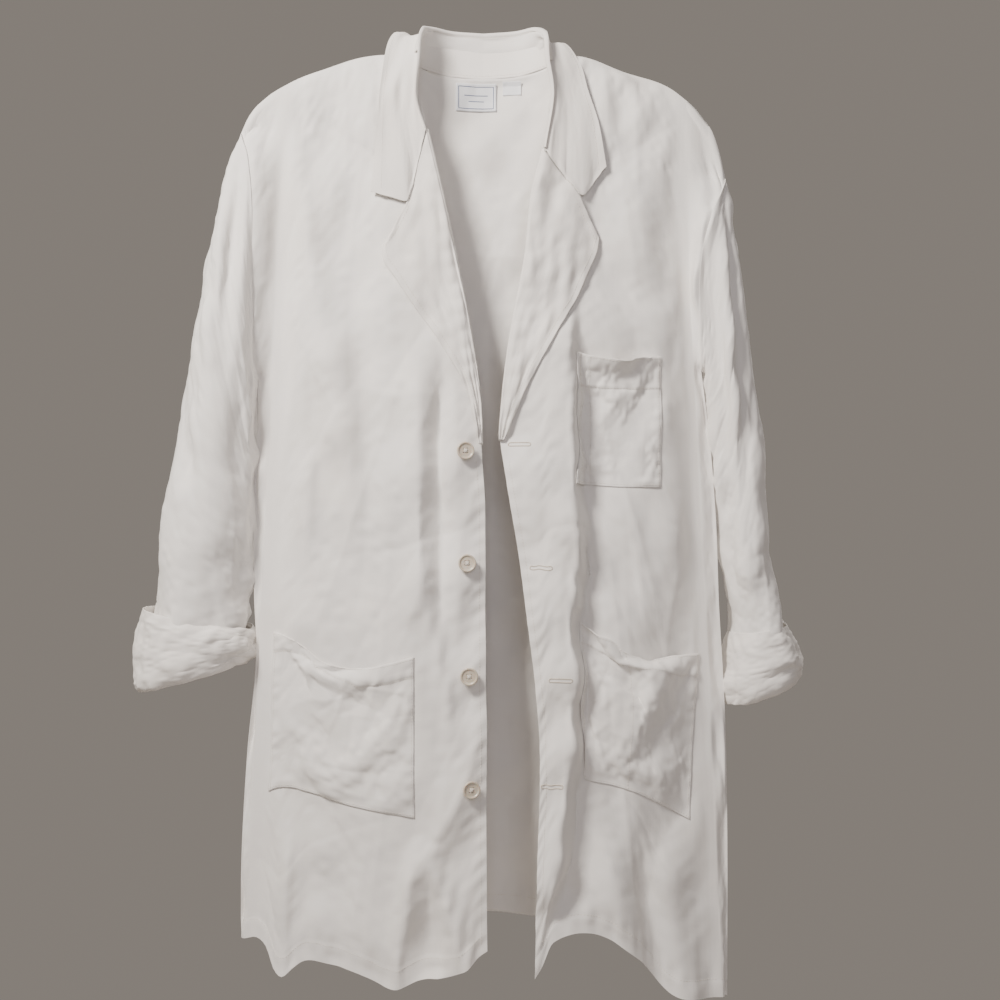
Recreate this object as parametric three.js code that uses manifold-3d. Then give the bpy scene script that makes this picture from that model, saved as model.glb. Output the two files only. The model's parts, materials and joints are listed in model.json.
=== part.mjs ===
// A hanging lab coat with notched lapels, turned-up cuffs, three patch pockets and four buttons.
//
// Millimetres, +Z up. The origin is where a hanger carries the coat: midway between the two neck points,
// on the shoulder seams. The coat faces -Y, and the wearer's left is +X.
//
// Every cloth piece is a thin closed shell. Flat-lying pieces are slabs between two depth functions y(w, z),
// where w is the distance out from the centre line (w = x on the left, -x on the right).
// Tubes and the collar are sheets thickened along their normals.

import * as THREE from 'three';
import Module from 'manifold-3d';
import { mergeVertices } from 'three/addons/utils/BufferGeometryUtils.js';

const wasm = await Module();
wasm.setup();

// ---- Driving dimensions --------------------------------------------------------------------------------

// Cloth and the clearances between sewn layers
const CLOTH = 1.4; // stand-in thickness of one layer of coat cloth
const LINING = 0.7; // fused interlining
const PLY_GAP = 0.6; // clearance between plies
const FOLD_GAP = 2.6; // half the clearance along the line that a front swings on

// Body
const LENGTH = 955; // neck point to hem at the centre of the fronts
const NECK_HALF = 90; // centre to neck point
const HANGER_HALF = 208; // centre to the place where the shoulder leaves the hanger's arm
const HANGER_DROP = 39; // fall of the shoulder seam over the hanger's arm
const SHOULDER_HALF = 255; // centre to shoulder point
const ARMHOLE_HALF = SHOULDER_HALF - 11.5; // centre to the narrowest place of the armhole
const CHEST_HALF = 239; // centre to side seam under the arm
const HEM_HALF = 259; // centre to side seam at the hem
const UNDERARM_DROP = 325; // neck point to underarm
const BACK_NECK_DROP = 8; // neck point to the middle of the back neck seam
const SIDE_DEPTH = 2.4; // front and back panels stand this far from the side seam's plane
const BACK_DEPTH = 30; // how far the back panel bows behind the hanger, at the hem
const BACK_TOP_DEPTH = 5; // the same at the shoulder seams
const FLUTE = 7; // height of the back's soft flutes at the hem
const FLUTE_PITCH = 118;
const FRONT_BULGE = 51; // how far the front edge stands in front of the swing line
const FRONT_TOP_BULGE = 8; // the same at the neck
const SWING_TOP_OUT = 4; // the line that a front swings on starts this far outside the hanger's end
const SWING_TOP_DEPTH = 3.4; // its distance in front of the hanger's plane at the shoulder seam
const SWING_HEM_DEPTH = 7; // and at the hem
const SWING_HEM_INSET = 6; // its distance in from the side seam at the hem

// Collar and lapels
const BREAK_DROP = 406; // neck point to the top button, where the lapel starts to roll
const COLLAR_TOP = 50; // neck point to the collar's fold
const COLLAR_LIFT = 6.5; // the collar's distance off the front under it
const COLLAR_PLY = 1.1; // thickness of the upper and of the under collar
const LAPEL = 2.2; // thickness of the turned lapel, two plies and interlining
const LAPEL_LIFT = 1.4; // the lapel's distance off the front under it

// Buttons and buttonholes
const BUTTONS = 4;
const BUTTON_TOP_DROP = 415;
const BUTTON_PITCH = 116.5;
const BUTTON_INSET = 16; // front edge to button centre
const BUTTON_R = 9.5;
const BUTTON_THICK = 3.2;
const BUTTON_RIM = 2.0; // width of the raised rim
const BUTTON_DISH = 0.9; // how far the middle lies below the rim
const EYE_R = 1.05; // sewing hole
const EYE_RING = 2.3; // centre to sewing hole
const SHANK = 3.6; // thread between cloth and button
const THREAD_R = 0.6;
const THREAD_GAP = 0.4;
const HOLE_LENGTH = 24; // buttonhole, over the worked edge
const HOLE_WIDTH = 4.4;
const HOLE_INSET = 12; // front edge to the buttonhole's near end
const SLIT_LENGTH = 20.5;
const SLIT_WIDTH = 1.4;

// Facings
const FACING = 74; // width of the facing and its interlining
const FACING_INSET = 3; // facings stop this far short of the edges
const FACING_TOP_DROP = 30; // neck point to the facing's top edge

// Pockets
const LOWER_POCKET = { width: 150, height: 176, gape: 26 }; // gape: how far the mouth stands open
const CHEST_POCKET = { width: 98, height: 142, gape: 15 };
const POCKET_LIFT = 1; // clearance between a pocket's sewn edges and the front

// Sleeves and cuffs
const ARMHOLE_DEPTH = 27; // half the front-to-back width of the armhole
const SLEEVE_GAP = 1.2; // clearance between sleeve and armhole edge
const CUFF_BAND = 4; // clearance between the sleeve and the cuff turned up round it

// Labels
const NECK_LABEL = { width: 44, height: 30, thick: 0.8, w: -8 };
const SIZE_LABEL = { width: 20, height: 15, thick: 0.8, w: 31 };

// The two halves differ, because the coat hangs a little askew and its front is open.
const LEFT = {
  name: 'left', sign: 1,
  shoulderDrop: 126, // neck point to shoulder point
  hemSag: 45, // how much lower the side seam's end hangs than the centre
  breakHalf: 19, hemEdgeHalf: 50, // front edge at the top button and at the hem
  gorge: [67, 89], // where the collar seam meets the roll line: w, drop
  notch: [103, 146], collarTip: [132, 115], lapelTip: [123, 189],
  collarOuter: [[104, -5], [118, 48]], // outer edge of the collar between shoulder and tip
  lapelOuter: [[112, 222], [80, 287], [48, 343]],
  pocket: { w: 84, drop: 594, skew: 38 }, // inner top corner, and how much lower the outer corner is
  chest: { w: 92, drop: 311, skew: 5 },
  // The sleeve's outer and inner lines: distance out from the chest, and drop.
  sleeveOuter: [[33, 184], [45, 268], [56, 383], [63, 488], [75, 566], [91, 618], [101, 660]],
  sleeveInner: [[8, 345], [13, 395], [23, 460], [31, 515], [35, 570], [33, 632], [25, 686]],
  sleeveDepth: [27, 31, 36, 42, 47, 50, 52, 52],
  sleeveBack: [0, 3, 7, 12, 16, 18, 20, 20], // how far the sleeve's middle hangs behind the shoulder
  cuff: { from: 0.80, flare: 5 },
};
const RIGHT = {
  name: 'right', sign: -1,
  shoulderDrop: 79,
  hemSag: 12,
  breakHalf: 3, hemEdgeHalf: -4,
  gorge: [59, 70],
  notch: [80, 152], collarTip: [117, 139], lapelTip: [105, 196],
  collarOuter: [[118, -2], [119, 64]],
  lapelOuter: [[88, 233], [54, 286], [17, 344]],
  pocket: { w: 73, drop: 620, skew: -14 },
  sleeveOuter: [[42, 139], [61, 208], [77, 297], [93, 393], [109, 488], [123, 580], [129, 672]],
  sleeveInner: [[4, 345], [6, 395], [7, 450], [9, 505], [13, 555], [18, 602], [23, 642]],
  sleeveDepth: [27, 32, 36, 39, 41, 42, 42, 42],
  sleeveBack: [0, 1, 2, 3, 4, 5, 6, 6],
  cuff: { from: 0.86, flare: 5 },
};

// ---- Colours and finishes ------------------------------------------------------------------------------

const finish = (color, roughness = 0.9) => new THREE.MeshStandardMaterial({ color, roughness, metalness: 0 });
const FINISH = {
  cloth: finish(0xe8e4df),
  facing: finish(0xe6e1d9),
  interlining: finish(0xf0eee9, 0.95),
  label: finish(0xdfe3e8, 0.6),
  button: finish(0xd6cbbb, 0.35),
  thread: finish(0xe4ddd0, 0.7),
};

// ---- Small maths ---------------------------------------------------------------------------------------

const clamp = (x, low = 0, high = 1) => Math.min(high, Math.max(low, x));
const lerp = (a, b, t) => a + (b - a) * t;
const ease = (t) => clamp(t) ** 2 * (3 - 2 * clamp(t));

/** A straight-segment function through [place, value] pairs in rising order, level past both ends. */
function track(points) {
  return (at) => {
    const next = points.findIndex(([place]) => place >= at);
    if (next === 0) return points[0][1];
    if (next < 0) return points.at(-1)[1];
    const [a, va] = points[next - 1];
    const [b, vb] = points[next];
    return lerp(va, vb, (at - a) / (b - a));
  };
}

/** A smooth curve through points of any number of coordinates up to three, asked by share of its length. */
function smoothCurve(points) {
  const places = points.map(([a, b, c = 0]) => new THREE.Vector3(a, b, c));
  const curve = new THREE.CatmullRomCurve3(places, false, 'centripetal');
  return (t) => curve.getPointAt(clamp(t)).toArray();
}

// ---- Closed meshes -------------------------------------------------------------------------------------

/** The closed mesh between an inner and an outer grid of points, joined end to end if around. */
function between(inner, outer, around = false) {
  const rows = inner.length;
  const cols = inner[0].length;
  const points = [...inner.flat(), ...outer.flat()];
  const id = (layer, r, c) => layer * rows * cols + r * cols + (c % cols);
  const faces = [];
  const quad = (a, b, c, d) => faces.push(a, b, c, a, c, d);
  const wide = around ? cols : cols - 1;
  for (let r = 0; r < rows - 1; r++) {
    for (let c = 0; c < wide; c++) {
      quad(id(0, r, c), id(0, r, c + 1), id(0, r + 1, c + 1), id(0, r + 1, c));
      quad(id(1, r, c), id(1, r + 1, c), id(1, r + 1, c + 1), id(1, r, c + 1));
    }
  }
  for (let c = 0; c < wide; c++) {
    quad(id(0, 0, c + 1), id(0, 0, c), id(1, 0, c), id(1, 0, c + 1));
    quad(id(0, rows - 1, c), id(0, rows - 1, c + 1), id(1, rows - 1, c + 1), id(1, rows - 1, c));
  }
  if (!around) {
    for (let r = 0; r < rows - 1; r++) {
      quad(id(0, r, 0), id(0, r + 1, 0), id(1, r + 1, 0), id(1, r, 0));
      quad(id(0, r + 1, cols - 1), id(0, r, cols - 1), id(1, r, cols - 1), id(1, r + 1, cols - 1));
    }
  }
  const geometry = new THREE.BufferGeometry();
  geometry.setAttribute('position', new THREE.Float32BufferAttribute(points.flat(), 3));
  geometry.setIndex(faces);
  return facingOut(geometry);
}

/** Turns every face round if the closed mesh is inside out. */
function facingOut(geometry) {
  const p = geometry.attributes.position;
  const index = [...geometry.index.array];
  const corner = [0, 1, 2].map(() => new THREE.Vector3());
  let volume = 0;
  for (let i = 0; i < index.length; i += 3) {
    corner.forEach((v, k) => v.fromBufferAttribute(p, index[i + k]));
    volume += corner[0].dot(corner[1].clone().cross(corner[2]));
  }
  if (volume < 0) {
    for (let i = 0; i < index.length; i += 3) {
      [index[i + 1], index[i + 2]] = [index[i + 2], index[i + 1]];
    }
  }
  geometry.setIndex(index);
  return geometry;
}

/** A grid of values: rows by v from 0 to 1, columns by u from 0 to 1, the last column left out if around. */
function grid(rows, cols, at, around = false) {
  const count = around ? cols : cols + 1;
  return Array.from({ length: rows + 1 }, (_, r) =>
    Array.from({ length: count }, (_, c) => at(c / cols, r / rows)));
}

/** A slab over a patch of (w, z) places, between the depths near(w, z) and far(w, z). */
function slab(side, patch, near, far) {
  const lay = (depth) => patch.map((row) => row.map(([w, z]) => [side.sign * w, depth(w, z), z]));
  return between(lay(near), lay(far));
}

/** A sheet of points thickened along its normals, from one distance to another. */
function thickened(points, from, to, around = false) {
  const rows = points.length;
  const cols = points[0].length;
  const column = (c) => (around ? (c + cols) % cols : clamp(c, 0, cols - 1));
  const at = (r, c) => new THREE.Vector3(...points[clamp(r, 0, rows - 1)][column(c)]);
  const normals = points.map((row, r) => row.map((_, c) => {
    const across = at(r, c + 1).sub(at(r, c - 1));
    const down = at(r + 1, c).sub(at(r - 1, c));
    return across.cross(down).normalize();
  }));
  const moved = (by) => points.map((row, r) => row.map((p, c) =>
    new THREE.Vector3(...p).addScaledVector(normals[r][c], by).toArray()));
  return between(moved(from), moved(to), around);
}

// ---- Booleans ------------------------------------------------------------------------------------------

function solid(geometry) {
  const bare = geometry.clone();
  for (const name of ['normal', 'uv']) bare.deleteAttribute(name);
  const merged = mergeVertices(bare, 1e-4);
  return new wasm.Manifold(new wasm.Mesh({
    numProp: 3,
    vertProperties: merged.attributes.position.array,
    triVerts: new Uint32Array(merged.index.array),
  }));
}

function geometryOf(manifold) {
  const mesh = manifold.getMesh();
  return new THREE.BufferGeometry()
    .setAttribute('position', new THREE.BufferAttribute(new Float32Array(mesh.vertProperties), 3))
    .setIndex(new THREE.BufferAttribute(new Uint32Array(mesh.triVerts), 1));
}

/** A geometry with other geometries cut out of it. */
function cut(geometry, ...tools) {
  return geometryOf(tools.reduce((made, tool) => made.subtract(solid(tool)), solid(geometry)));
}

/** Several geometries joined into one solid. */
function join(first, ...others) {
  return geometryOf(others.reduce((made, other) => made.add(solid(other)), solid(first)));
}

// ---- The coat's outlines and depths --------------------------------------------------------------------

const hemZ = (side, w) => -LENGTH - side.hemSag * ease((w - side.hemEdgeHalf) / (HEM_HALF - side.hemEdgeHalf));

/** The front edge: neckline down to the gorge, roll line down to the top button, then the open edge. */
const edgeW = (side) => track([
  [-LENGTH, side.hemEdgeHalf],
  [-BREAK_DROP - (LENGTH - BREAK_DROP) / 2, lerp(side.breakHalf, side.hemEdgeHalf, 0.86)],
  [-BREAK_DROP, side.breakHalf],
  [-side.gorge[1], side.gorge[0]],
  [0, NECK_HALF],
]);

/** The armhole edge down to the underarm, then the side seam. */
const sideW = (side) => track([
  [-LENGTH - side.hemSag, HEM_HALF],
  [-UNDERARM_DROP, CHEST_HALF],
  [lerp(-UNDERARM_DROP, -side.shoulderDrop, 0.5), ARMHOLE_HALF],
  [-side.shoulderDrop, SHOULDER_HALF],
]);

/** The shoulder seam, from neck point over the hanger's arm to the shoulder point. */
const shoulderZ = (side) => track([
  [0, -BACK_NECK_DROP],
  [NECK_HALF * 0.7, -BACK_NECK_DROP],
  [NECK_HALF, 0],
  [HANGER_HALF, -HANGER_DROP],
  [lerp(HANGER_HALF, SHOULDER_HALF, 0.6), -lerp(HANGER_DROP, side.shoulderDrop, 0.42)],
  [SHOULDER_HALF, -side.shoulderDrop],
]);

// The straight line that a front swings on, from the shoulder seam to the hem near the side seam.
const swingShare = (z) => (-z - HANGER_DROP) / (LENGTH - HANGER_DROP);
const swingW = (z) => lerp(HANGER_HALF + SWING_TOP_OUT, HEM_HALF - SWING_HEM_INSET, swingShare(z));
const swingY = (z) => -lerp(SWING_TOP_DEPTH, SWING_HEM_DEPTH, swingShare(z));

const bulge = (z) => lerp(FRONT_BULGE, FRONT_TOP_BULGE, Math.exp((4 * z) / LENGTH));
const crestW = (side, z) => lerp(NECK_HALF * 0.7, side.hemEdgeHalf, -z / LENGTH); // the most forward place

/** Middle depth of the front's cloth: bowed forward from the swing line to the front edge. */
function frontY(side) {
  const outer = sideW(side);
  return (w, z) => {
    const fold = swingW(z);
    if (w <= fold) {
      const share = (fold - w) / (fold - crestW(side, z));
      return swingY(z) - bulge(z) * Math.sin((share * Math.PI) / 2);
    }
    const share = clamp((w - fold) / Math.max(12, outer(z) - fold));
    return lerp(swingY(z), -SIDE_DEPTH - CLOTH / 2, share ** 1.6);
  };
}

/** Middle depth of the back's cloth, with flutes that open towards the hem. */
function backY(side) {
  const outer = sideW(side);
  return (w, z) => {
    const down = clamp(-z / LENGTH);
    const share = clamp(1 - (Math.abs(w) / outer(z)) ** 2);
    const bow = lerp(BACK_TOP_DEPTH, BACK_DEPTH, ease(down * 1.6)) * Math.sqrt(share);
    const flute = FLUTE * down * share * Math.cos((2 * Math.PI * w * side.sign) / FLUTE_PITCH);
    return SIDE_DEPTH + CLOTH / 2 + bow + flute;
  };
}

/** Places on a panel between two edges, with columns that run from the shoulder line to the hem. */
function panelPatch(side, rows, cols, inner, outer, top, bottom) {
  return grid(rows, cols, (u, v) => {
    const column = (z) => lerp(inner(z), outer(z), u);
    let z = -20;
    for (let step = 0; step < 40; step++) z = top(column(z));
    const low = bottom(column(-LENGTH));
    const depth = lerp(z, low, v);
    return [column(depth), depth];
  });
}

// ---- Panels --------------------------------------------------------------------------------------------

/** Both halves of the back are one piece of cloth. */
function backPanel() {
  const half = (side) => {
    const outer = sideW(side);
    return panelPatch(side, 15, 9, () => 0, outer, shoulderZ(side), (w) => hemZ(side, w));
  };
  const left = half(LEFT);
  const right = half(RIGHT);
  const centreZ = (r) => (left[r][0][1] + right[r][0][1]) / 2;
  const lay = (by) => left.map((row, r) => [
    ...right[r].slice(1).reverse().map(([w, z]) => [-w, backY(RIGHT)(w, z) + by, z]),
    [0, (backY(LEFT)(0, centreZ(r)) + backY(RIGHT)(0, centreZ(r))) / 2 + by, centreZ(r)],
    ...row.slice(1).map(([w, z]) => [w, backY(LEFT)(w, z) + by, z]),
  ]);
  return between(lay(-CLOTH / 2), lay(CLOTH / 2));
}

/** The part of a front that stays with the shoulder: armhole, shoulder seam and side seam. */
function frontSide(side) {
  const inner = (z) => swingW(z) + FOLD_GAP;
  const patch = panelPatch(side, 14, 6, inner, sideW(side), shoulderZ(side), (w) => hemZ(side, w));
  const y = frontY(side);
  return slab(side, patch, (w, z) => y(w, z) - CLOTH / 2, (w, z) => y(w, z) + CLOTH / 2);
}

/** The swinging part's top edge: the shoulder seam outside the neck point, level inside it. */
const frontTopZ = (side) => (w) => shoulderZ(side)(Math.max(w, NECK_HALF));

function frontPatch(side, rows, cols, inner, outer) {
  return panelPatch(side, rows, cols, inner, outer, frontTopZ(side), (w) => hemZ(side, w));
}

/** The part of a front that swings open, with the worked buttonholes cut through it on the left. */
function frontPanel(side) {
  const y = frontY(side);
  const patch = frontPatch(side, 22, 9, edgeW(side), (z) => swingW(z) - FOLD_GAP);
  const cloth = slab(side, patch, (w, z) => y(w, z) - CLOTH / 2, (w, z) => y(w, z) + CLOTH / 2);
  return side === LEFT ? cut(cloth, ...buttonholeCutters()) : cloth;
}

/** A strip inside the front edge, at a distance behind the front's cloth. */
function edgeStrip(side, distance, thickness) {
  const y = frontY(side);
  const edge = edgeW(side);
  const inner = (z) => edge(z) + FACING_INSET;
  const patch = panelPatch(side, 22, 4, inner, (z) => inner(z) + FACING,
    () => -FACING_TOP_DROP, (w) => hemZ(side, w) + FACING_INSET);
  const from = CLOTH / 2 + PLY_GAP + distance;
  const cloth = slab(side, patch, (w, z) => y(w, z) + from, (w, z) => y(w, z) + from + thickness);
  return side === LEFT ? cut(cloth, ...buttonholeCutters()) : cloth;
}

const interlining = (side) => edgeStrip(side, 0, LINING);
const facing = (side) => edgeStrip(side, LINING + PLY_GAP, CLOTH);

// ---- Lapels and collar ---------------------------------------------------------------------------------

/** The lapel, folded out over the front between its roll line and its outer edge. */
function lapel(side) {
  const y = frontY(side);
  const edge = edgeW(side);
  const outer = smoothCurve([side.lapelTip, ...side.lapelOuter, [side.breakHalf + 2, BREAK_DROP - 6]]);
  const top = side.gorge[1] + 6;
  const patch = grid(12, 4, (u, v) => {
    const drop = lerp(top, BREAK_DROP - 8, v);
    const [w, d] = outer(v);
    return [lerp(edge(-drop) + 1, w, u), -lerp(drop, d, u)];
  });
  const inside = (w, z) => y(w, z) - CLOTH / 2 - LAPEL_LIFT - lapelRoll(side, w, z);
  return slab(side, patch, (w, z) => inside(w, z) - LAPEL, inside);
}

/** A lapel rolls softly, so its middle stands a little off the front. */
function lapelRoll(side, w, z) {
  const roll = (w - edgeW(side)(z)) / 40;
  return 0.8 * Math.sin(Math.PI * clamp(roll));
}

/** The collar's fold line and outer edge on one side, from the middle of the back to the notch. */
function collarCurves(side) {
  const y = frontY(side);
  const off = CLOTH / 2 + LAPEL_LIFT + LAPEL + COLLAR_LIFT;
  const on = ([w, drop], lift = 0) => [side.sign * w, y(w, -drop) - off - lift, -drop];
  const fold = smoothCurve([
    [0, 34, COLLAR_TOP], [side.sign * 40, 28, COLLAR_TOP + 1], [side.sign * 60, 2, COLLAR_TOP - 1],
    [side.sign * 63, -24, COLLAR_TOP * 0.2], on(side.gorge), on(side.notch),
  ]);
  const outer = smoothCurve([
    [0, 46, -6], [side.sign * 66, 38, 0], [side.sign * side.collarOuter[0][0], 3, 9 - side.collarOuter[0][1]],
    on([side.collarOuter[0][0] + 4, side.collarOuter[0][1] + 14], 5),
    on(side.collarOuter[1], 3),
    on(side.collarTip, 1),
  ]);
  return { fold, outer };
}

const COLLAR_TURN = 0.36; // share of the collar's length that lies behind the neck points
const COLLAR_CUT = 0.02; // half the clearance where the collar is divided for the swing of the fronts

/** Points of a collar sheet on one side from one share of its length to another. */
function collarSheet(side, from, to, cols) {
  const { fold, outer } = collarCurves(side);
  return grid(3, cols, (u, v) => {
    const t = lerp(from, to, u);
    const a = fold(t);
    const b = outer(t);
    return a.map((value, k) => lerp(value, b[k], v));
  });
}

const backSpan = (sheet) => {
  const left = sheet(LEFT);
  const right = sheet(RIGHT);
  return left.map((row, r) => [...right[r].slice(1).reverse(), ...row]);
};

/** The three plies of the collar's fall, outside to inside. */
const COLLAR_PLIES = [
  { name: 'upper_collar', from: 0, to: COLLAR_PLY, finish: FINISH.cloth },
  { name: 'collar_interlining', from: -PLY_GAP - LINING, to: -PLY_GAP, finish: FINISH.interlining },
  { name: 'under_collar', from: -2 * PLY_GAP - LINING - COLLAR_PLY, to: -2 * PLY_GAP - LINING, finish: FINISH.cloth },
];

function collarPly(span, ply) {
  const sheet = span === 'back'
    ? backSpan((side) => collarSheet(side, 0, COLLAR_TURN - COLLAR_CUT, 5))
    : collarSheet(span === 'left' ? LEFT : RIGHT, COLLAR_TURN + COLLAR_CUT, 1, 8);
  const outward = span === 'right' ? -1 : 1;
  return thickened(sheet, outward * ply.from, outward * ply.to);
}

/** The stand holds the collar up behind the neck, from the neck seam to just under the fold. */
function collarStand() {
  const below = 6;
  const inset = 6;
  const sheet = backSpan((side) => {
    const { fold } = collarCurves(side);
    const seam = smoothCurve([
      [0, 20, -BACK_NECK_DROP + 3], [side.sign * 44, 14, -BACK_NECK_DROP + 3], [side.sign * (NECK_HALF - 12), 1, 4],
    ]);
    return grid(2, 5, (u, v) => {
      const a = fold(u * (COLLAR_TURN - COLLAR_CUT));
      const top = [a[0] - side.sign * inset * u, a[1] - inset * (1 - u), a[2] - below];
      const b = seam(u);
      return top.map((value, k) => lerp(value, b[k], v));
    });
  });
  return thickened(sheet, -CLOTH / 2, CLOTH / 2);
}

// ---- Pockets -------------------------------------------------------------------------------------------

/** A patch pocket: a sheet sewn to the front at its sides and its bottom, with its mouth gaping at the top. */
function pocket(side, corner, { width, height, gape }) {
  const y = frontY(side);
  const place = (u, v) => [corner.w + width * u, -corner.drop - corner.skew * u - height * v];
  const rows = 6;
  const cols = 8;
  const swell = (u, v) => gape * Math.sin(Math.PI * u) ** 0.7 * Math.sqrt(1 - v);
  const lay = (by) => grid(rows, cols, (u, v) => {
    const [w, z] = place(u, v);
    return [side.sign * w, y(w, z) - CLOTH / 2 - POCKET_LIFT - swell(u, v) - by, z];
  });
  return between(lay(CLOTH), lay(0));
}

// ---- Buttons and buttonholes ---------------------------------------------------------------------------

const buttonDrop = (n) => BUTTON_TOP_DROP + n * BUTTON_PITCH;

/** Where button n sits: the place on the cloth's outer face and the cloth's outward direction there. */
function buttonSeat(n) {
  const z = -buttonDrop(n);
  const w = edgeW(RIGHT)(z) + BUTTON_INSET;
  const y = frontY(RIGHT);
  const step = 4;
  const across = new THREE.Vector3(-2 * step, y(w + step, z) - y(w - step, z), 0);
  const down = new THREE.Vector3(0, y(w, z + step) - y(w, z - step), 2 * step);
  const out = across.cross(down).normalize();
  if (out.y > 0) out.negate();
  const face = new THREE.Vector3(-w, y(w, z), z).addScaledVector(out, CLOTH / 2 + PLY_GAP);
  return { face, out };
}

/** A group whose +Y points away from the cloth at button n. */
function buttonFrame(n) {
  const { face, out } = buttonSeat(n);
  const frame = new THREE.Group();
  frame.position.copy(face);
  frame.quaternion.setFromUnitVectors(new THREE.Vector3(0, 1, 0), out);
  return frame;
}

const eyes = [0.25, 0.75, 1.25, 1.75].map((turn) => {
  return [EYE_RING * Math.cos(turn * Math.PI), EYE_RING * Math.sin(turn * Math.PI)];
});

function rod(radius, from, to, x = 0, z = 0, sides = 10) {
  return new THREE.CylinderGeometry(radius, radius, to - from, sides).translate(x, (from + to) / 2, z);
}

/** A four-eye button with a raised rim, standing off the cloth by the thread shank. */
function buttonDisc() {
  const inner = BUTTON_R - BUTTON_RIM;
  const low = SHANK;
  const high = SHANK + BUTTON_THICK;
  const profile = [
    [0, low], [BUTTON_R - 1.4, low], [BUTTON_R, low + 1.2], [BUTTON_R, high - 0.7], [BUTTON_R - 0.6, high],
    [inner + 0.4, high], [inner - 0.5, high - BUTTON_DISH], [0, high - BUTTON_DISH],
  ].map(([r, y]) => new THREE.Vector2(r, y));
  const holes = eyes.map(([x, z]) => rod(EYE_R, low - 1, high + 1, x, z, 8));
  return cut(new THREE.LatheGeometry(profile, 28), ...holes);
}

/** The thread: a shank from cloth to button, a post through each eye and a cross over the top. */
function buttonThread() {
  const top = SHANK + BUTTON_THICK - BUTTON_DISH + THREAD_GAP;
  const under = SHANK - THREAD_GAP;
  const shank = rod(EYE_RING + THREAD_R, 0, under, 0, 0, 12);
  const posts = eyes.map(([x, z]) => rod(THREAD_R, under - 0.5, top + THREAD_R, x, z, 8));
  const long = 2 * (EYE_RING + THREAD_R / 2);
  const bars = [1, -1].map((turn) => {
    const bar = new THREE.BoxGeometry(long, 2 * THREAD_R, 1.6 * THREAD_R);
    return bar.rotateY((turn * Math.PI) / 4).translate(0, top + THREAD_R, 0);
  });
  return join(shank, ...posts, ...bars);
}

/** A flat-ended rod with round ends in the plane of the front, through every ply of the left front. */
function stadium(n, length, width, from, to) {
  const drop = buttonDrop(n);
  const w = edgeW(LEFT)(-drop) + HOLE_INSET + HOLE_LENGTH / 2;
  const shape = new THREE.Shape();
  const run = (length - width) / 2;
  shape.absarc(run, 0, width / 2, -Math.PI / 2, Math.PI / 2, false);
  shape.absarc(-run, 0, width / 2, Math.PI / 2, (3 * Math.PI) / 2, false);
  const middle = frontY(LEFT)(w, -drop);
  const slope = Math.atan2(frontY(LEFT)(w + 6, -drop) - frontY(LEFT)(w - 6, -drop), 12);
  return new THREE.ExtrudeGeometry(shape, { depth: to - from, bevelEnabled: false, curveSegments: 5 })
    .rotateX(-Math.PI / 2).translate(0, from, 0).rotateZ(slope).translate(w, middle, -drop);
}

// From the middle of the front's cloth to the inside of the facing.
const plies = CLOTH / 2 + PLY_GAP + LINING + PLY_GAP + CLOTH;
const WORKED = 0.5; // the worked edge stands this far proud of the cloth

function buttonholeCutters() {
  const clear = 0.7;
  return Array.from({ length: BUTTONS }, (_, n) => stadium(n, HOLE_LENGTH + clear, HOLE_WIDTH + clear, -12, 14));
}

/** The worked thread edge of a buttonhole, round a slit that goes right through. */
const buttonhole = (n) => cut(
  stadium(n, HOLE_LENGTH, HOLE_WIDTH, -CLOTH / 2 - WORKED, plies + WORKED),
  stadium(n, SLIT_LENGTH, SLIT_WIDTH, -12, 14),
);

// ---- Sleeves and cuffs ---------------------------------------------------------------------------------

/** The sleeve's outer and inner outlines, and its depth and set-back, all by share of its length. */
function sleeveShape(side) {
  const beside = (line) => line.map(([out, drop]) => [CHEST_HALF + out, drop]);
  const outer = smoothCurve([[SHOULDER_HALF, side.shoulderDrop], ...beside(side.sleeveOuter)]);
  const inner = smoothCurve([[CHEST_HALF, UNDERARM_DROP], ...beside(side.sleeveInner)]);
  const even = (values) => track(values.map((value, k) => [k / (values.length - 1), value]));
  const depth = even([ARMHOLE_DEPTH, ...side.sleeveDepth.slice(1)]);
  const back = even(side.sleeveBack);
  return (t) => ({ outer: outer(t), inner: inner(t), depth: depth(t), back: back(t) });
}

/** Rings round the sleeve from one share of its length to another, grown by a clearance. */
function sleeveRings(side, from, to, rows, grow = () => 0) {
  const shape = sleeveShape(side);
  const cols = 22;
  return grid(rows, cols, (u, v) => {
    const t = lerp(from, to, v);
    const { outer, inner, depth, back } = shape(t);
    const angle = 2 * Math.PI * u;
    const along = new THREE.Vector2(outer[0] - inner[0], outer[1] - inner[1]);
    const half = along.length() / 2 + grow(v);
    along.normalize();
    const round = (value) => Math.sign(value) * Math.abs(value) ** 0.86;
    const w = (outer[0] + inner[0]) / 2 + along.x * half * round(Math.cos(angle)) + SLEEVE_GAP + 1;
    const drop = (outer[1] + inner[1]) / 2 + along.y * half * round(Math.cos(angle));
    return [side.sign * w, back - (depth + grow(v)) * round(Math.sin(angle)), -drop];
  }, true);
}

const sleeve = (side) => thickened(sleeveRings(side, 0, 0.985, 15), -CLOTH / 2, CLOTH / 2, true);

/** The end of the sleeve turned back up round itself. */
function cuff(side) {
  const stand = CLOTH / 2 + CUFF_BAND;
  const grow = (v) => stand + side.cuff.flare * Math.sin(Math.PI * v);
  return thickened(sleeveRings(side, side.cuff.from, 1, 4, grow), 0, CLOTH, true);
}

// ---- Labels --------------------------------------------------------------------------------------------

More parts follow.
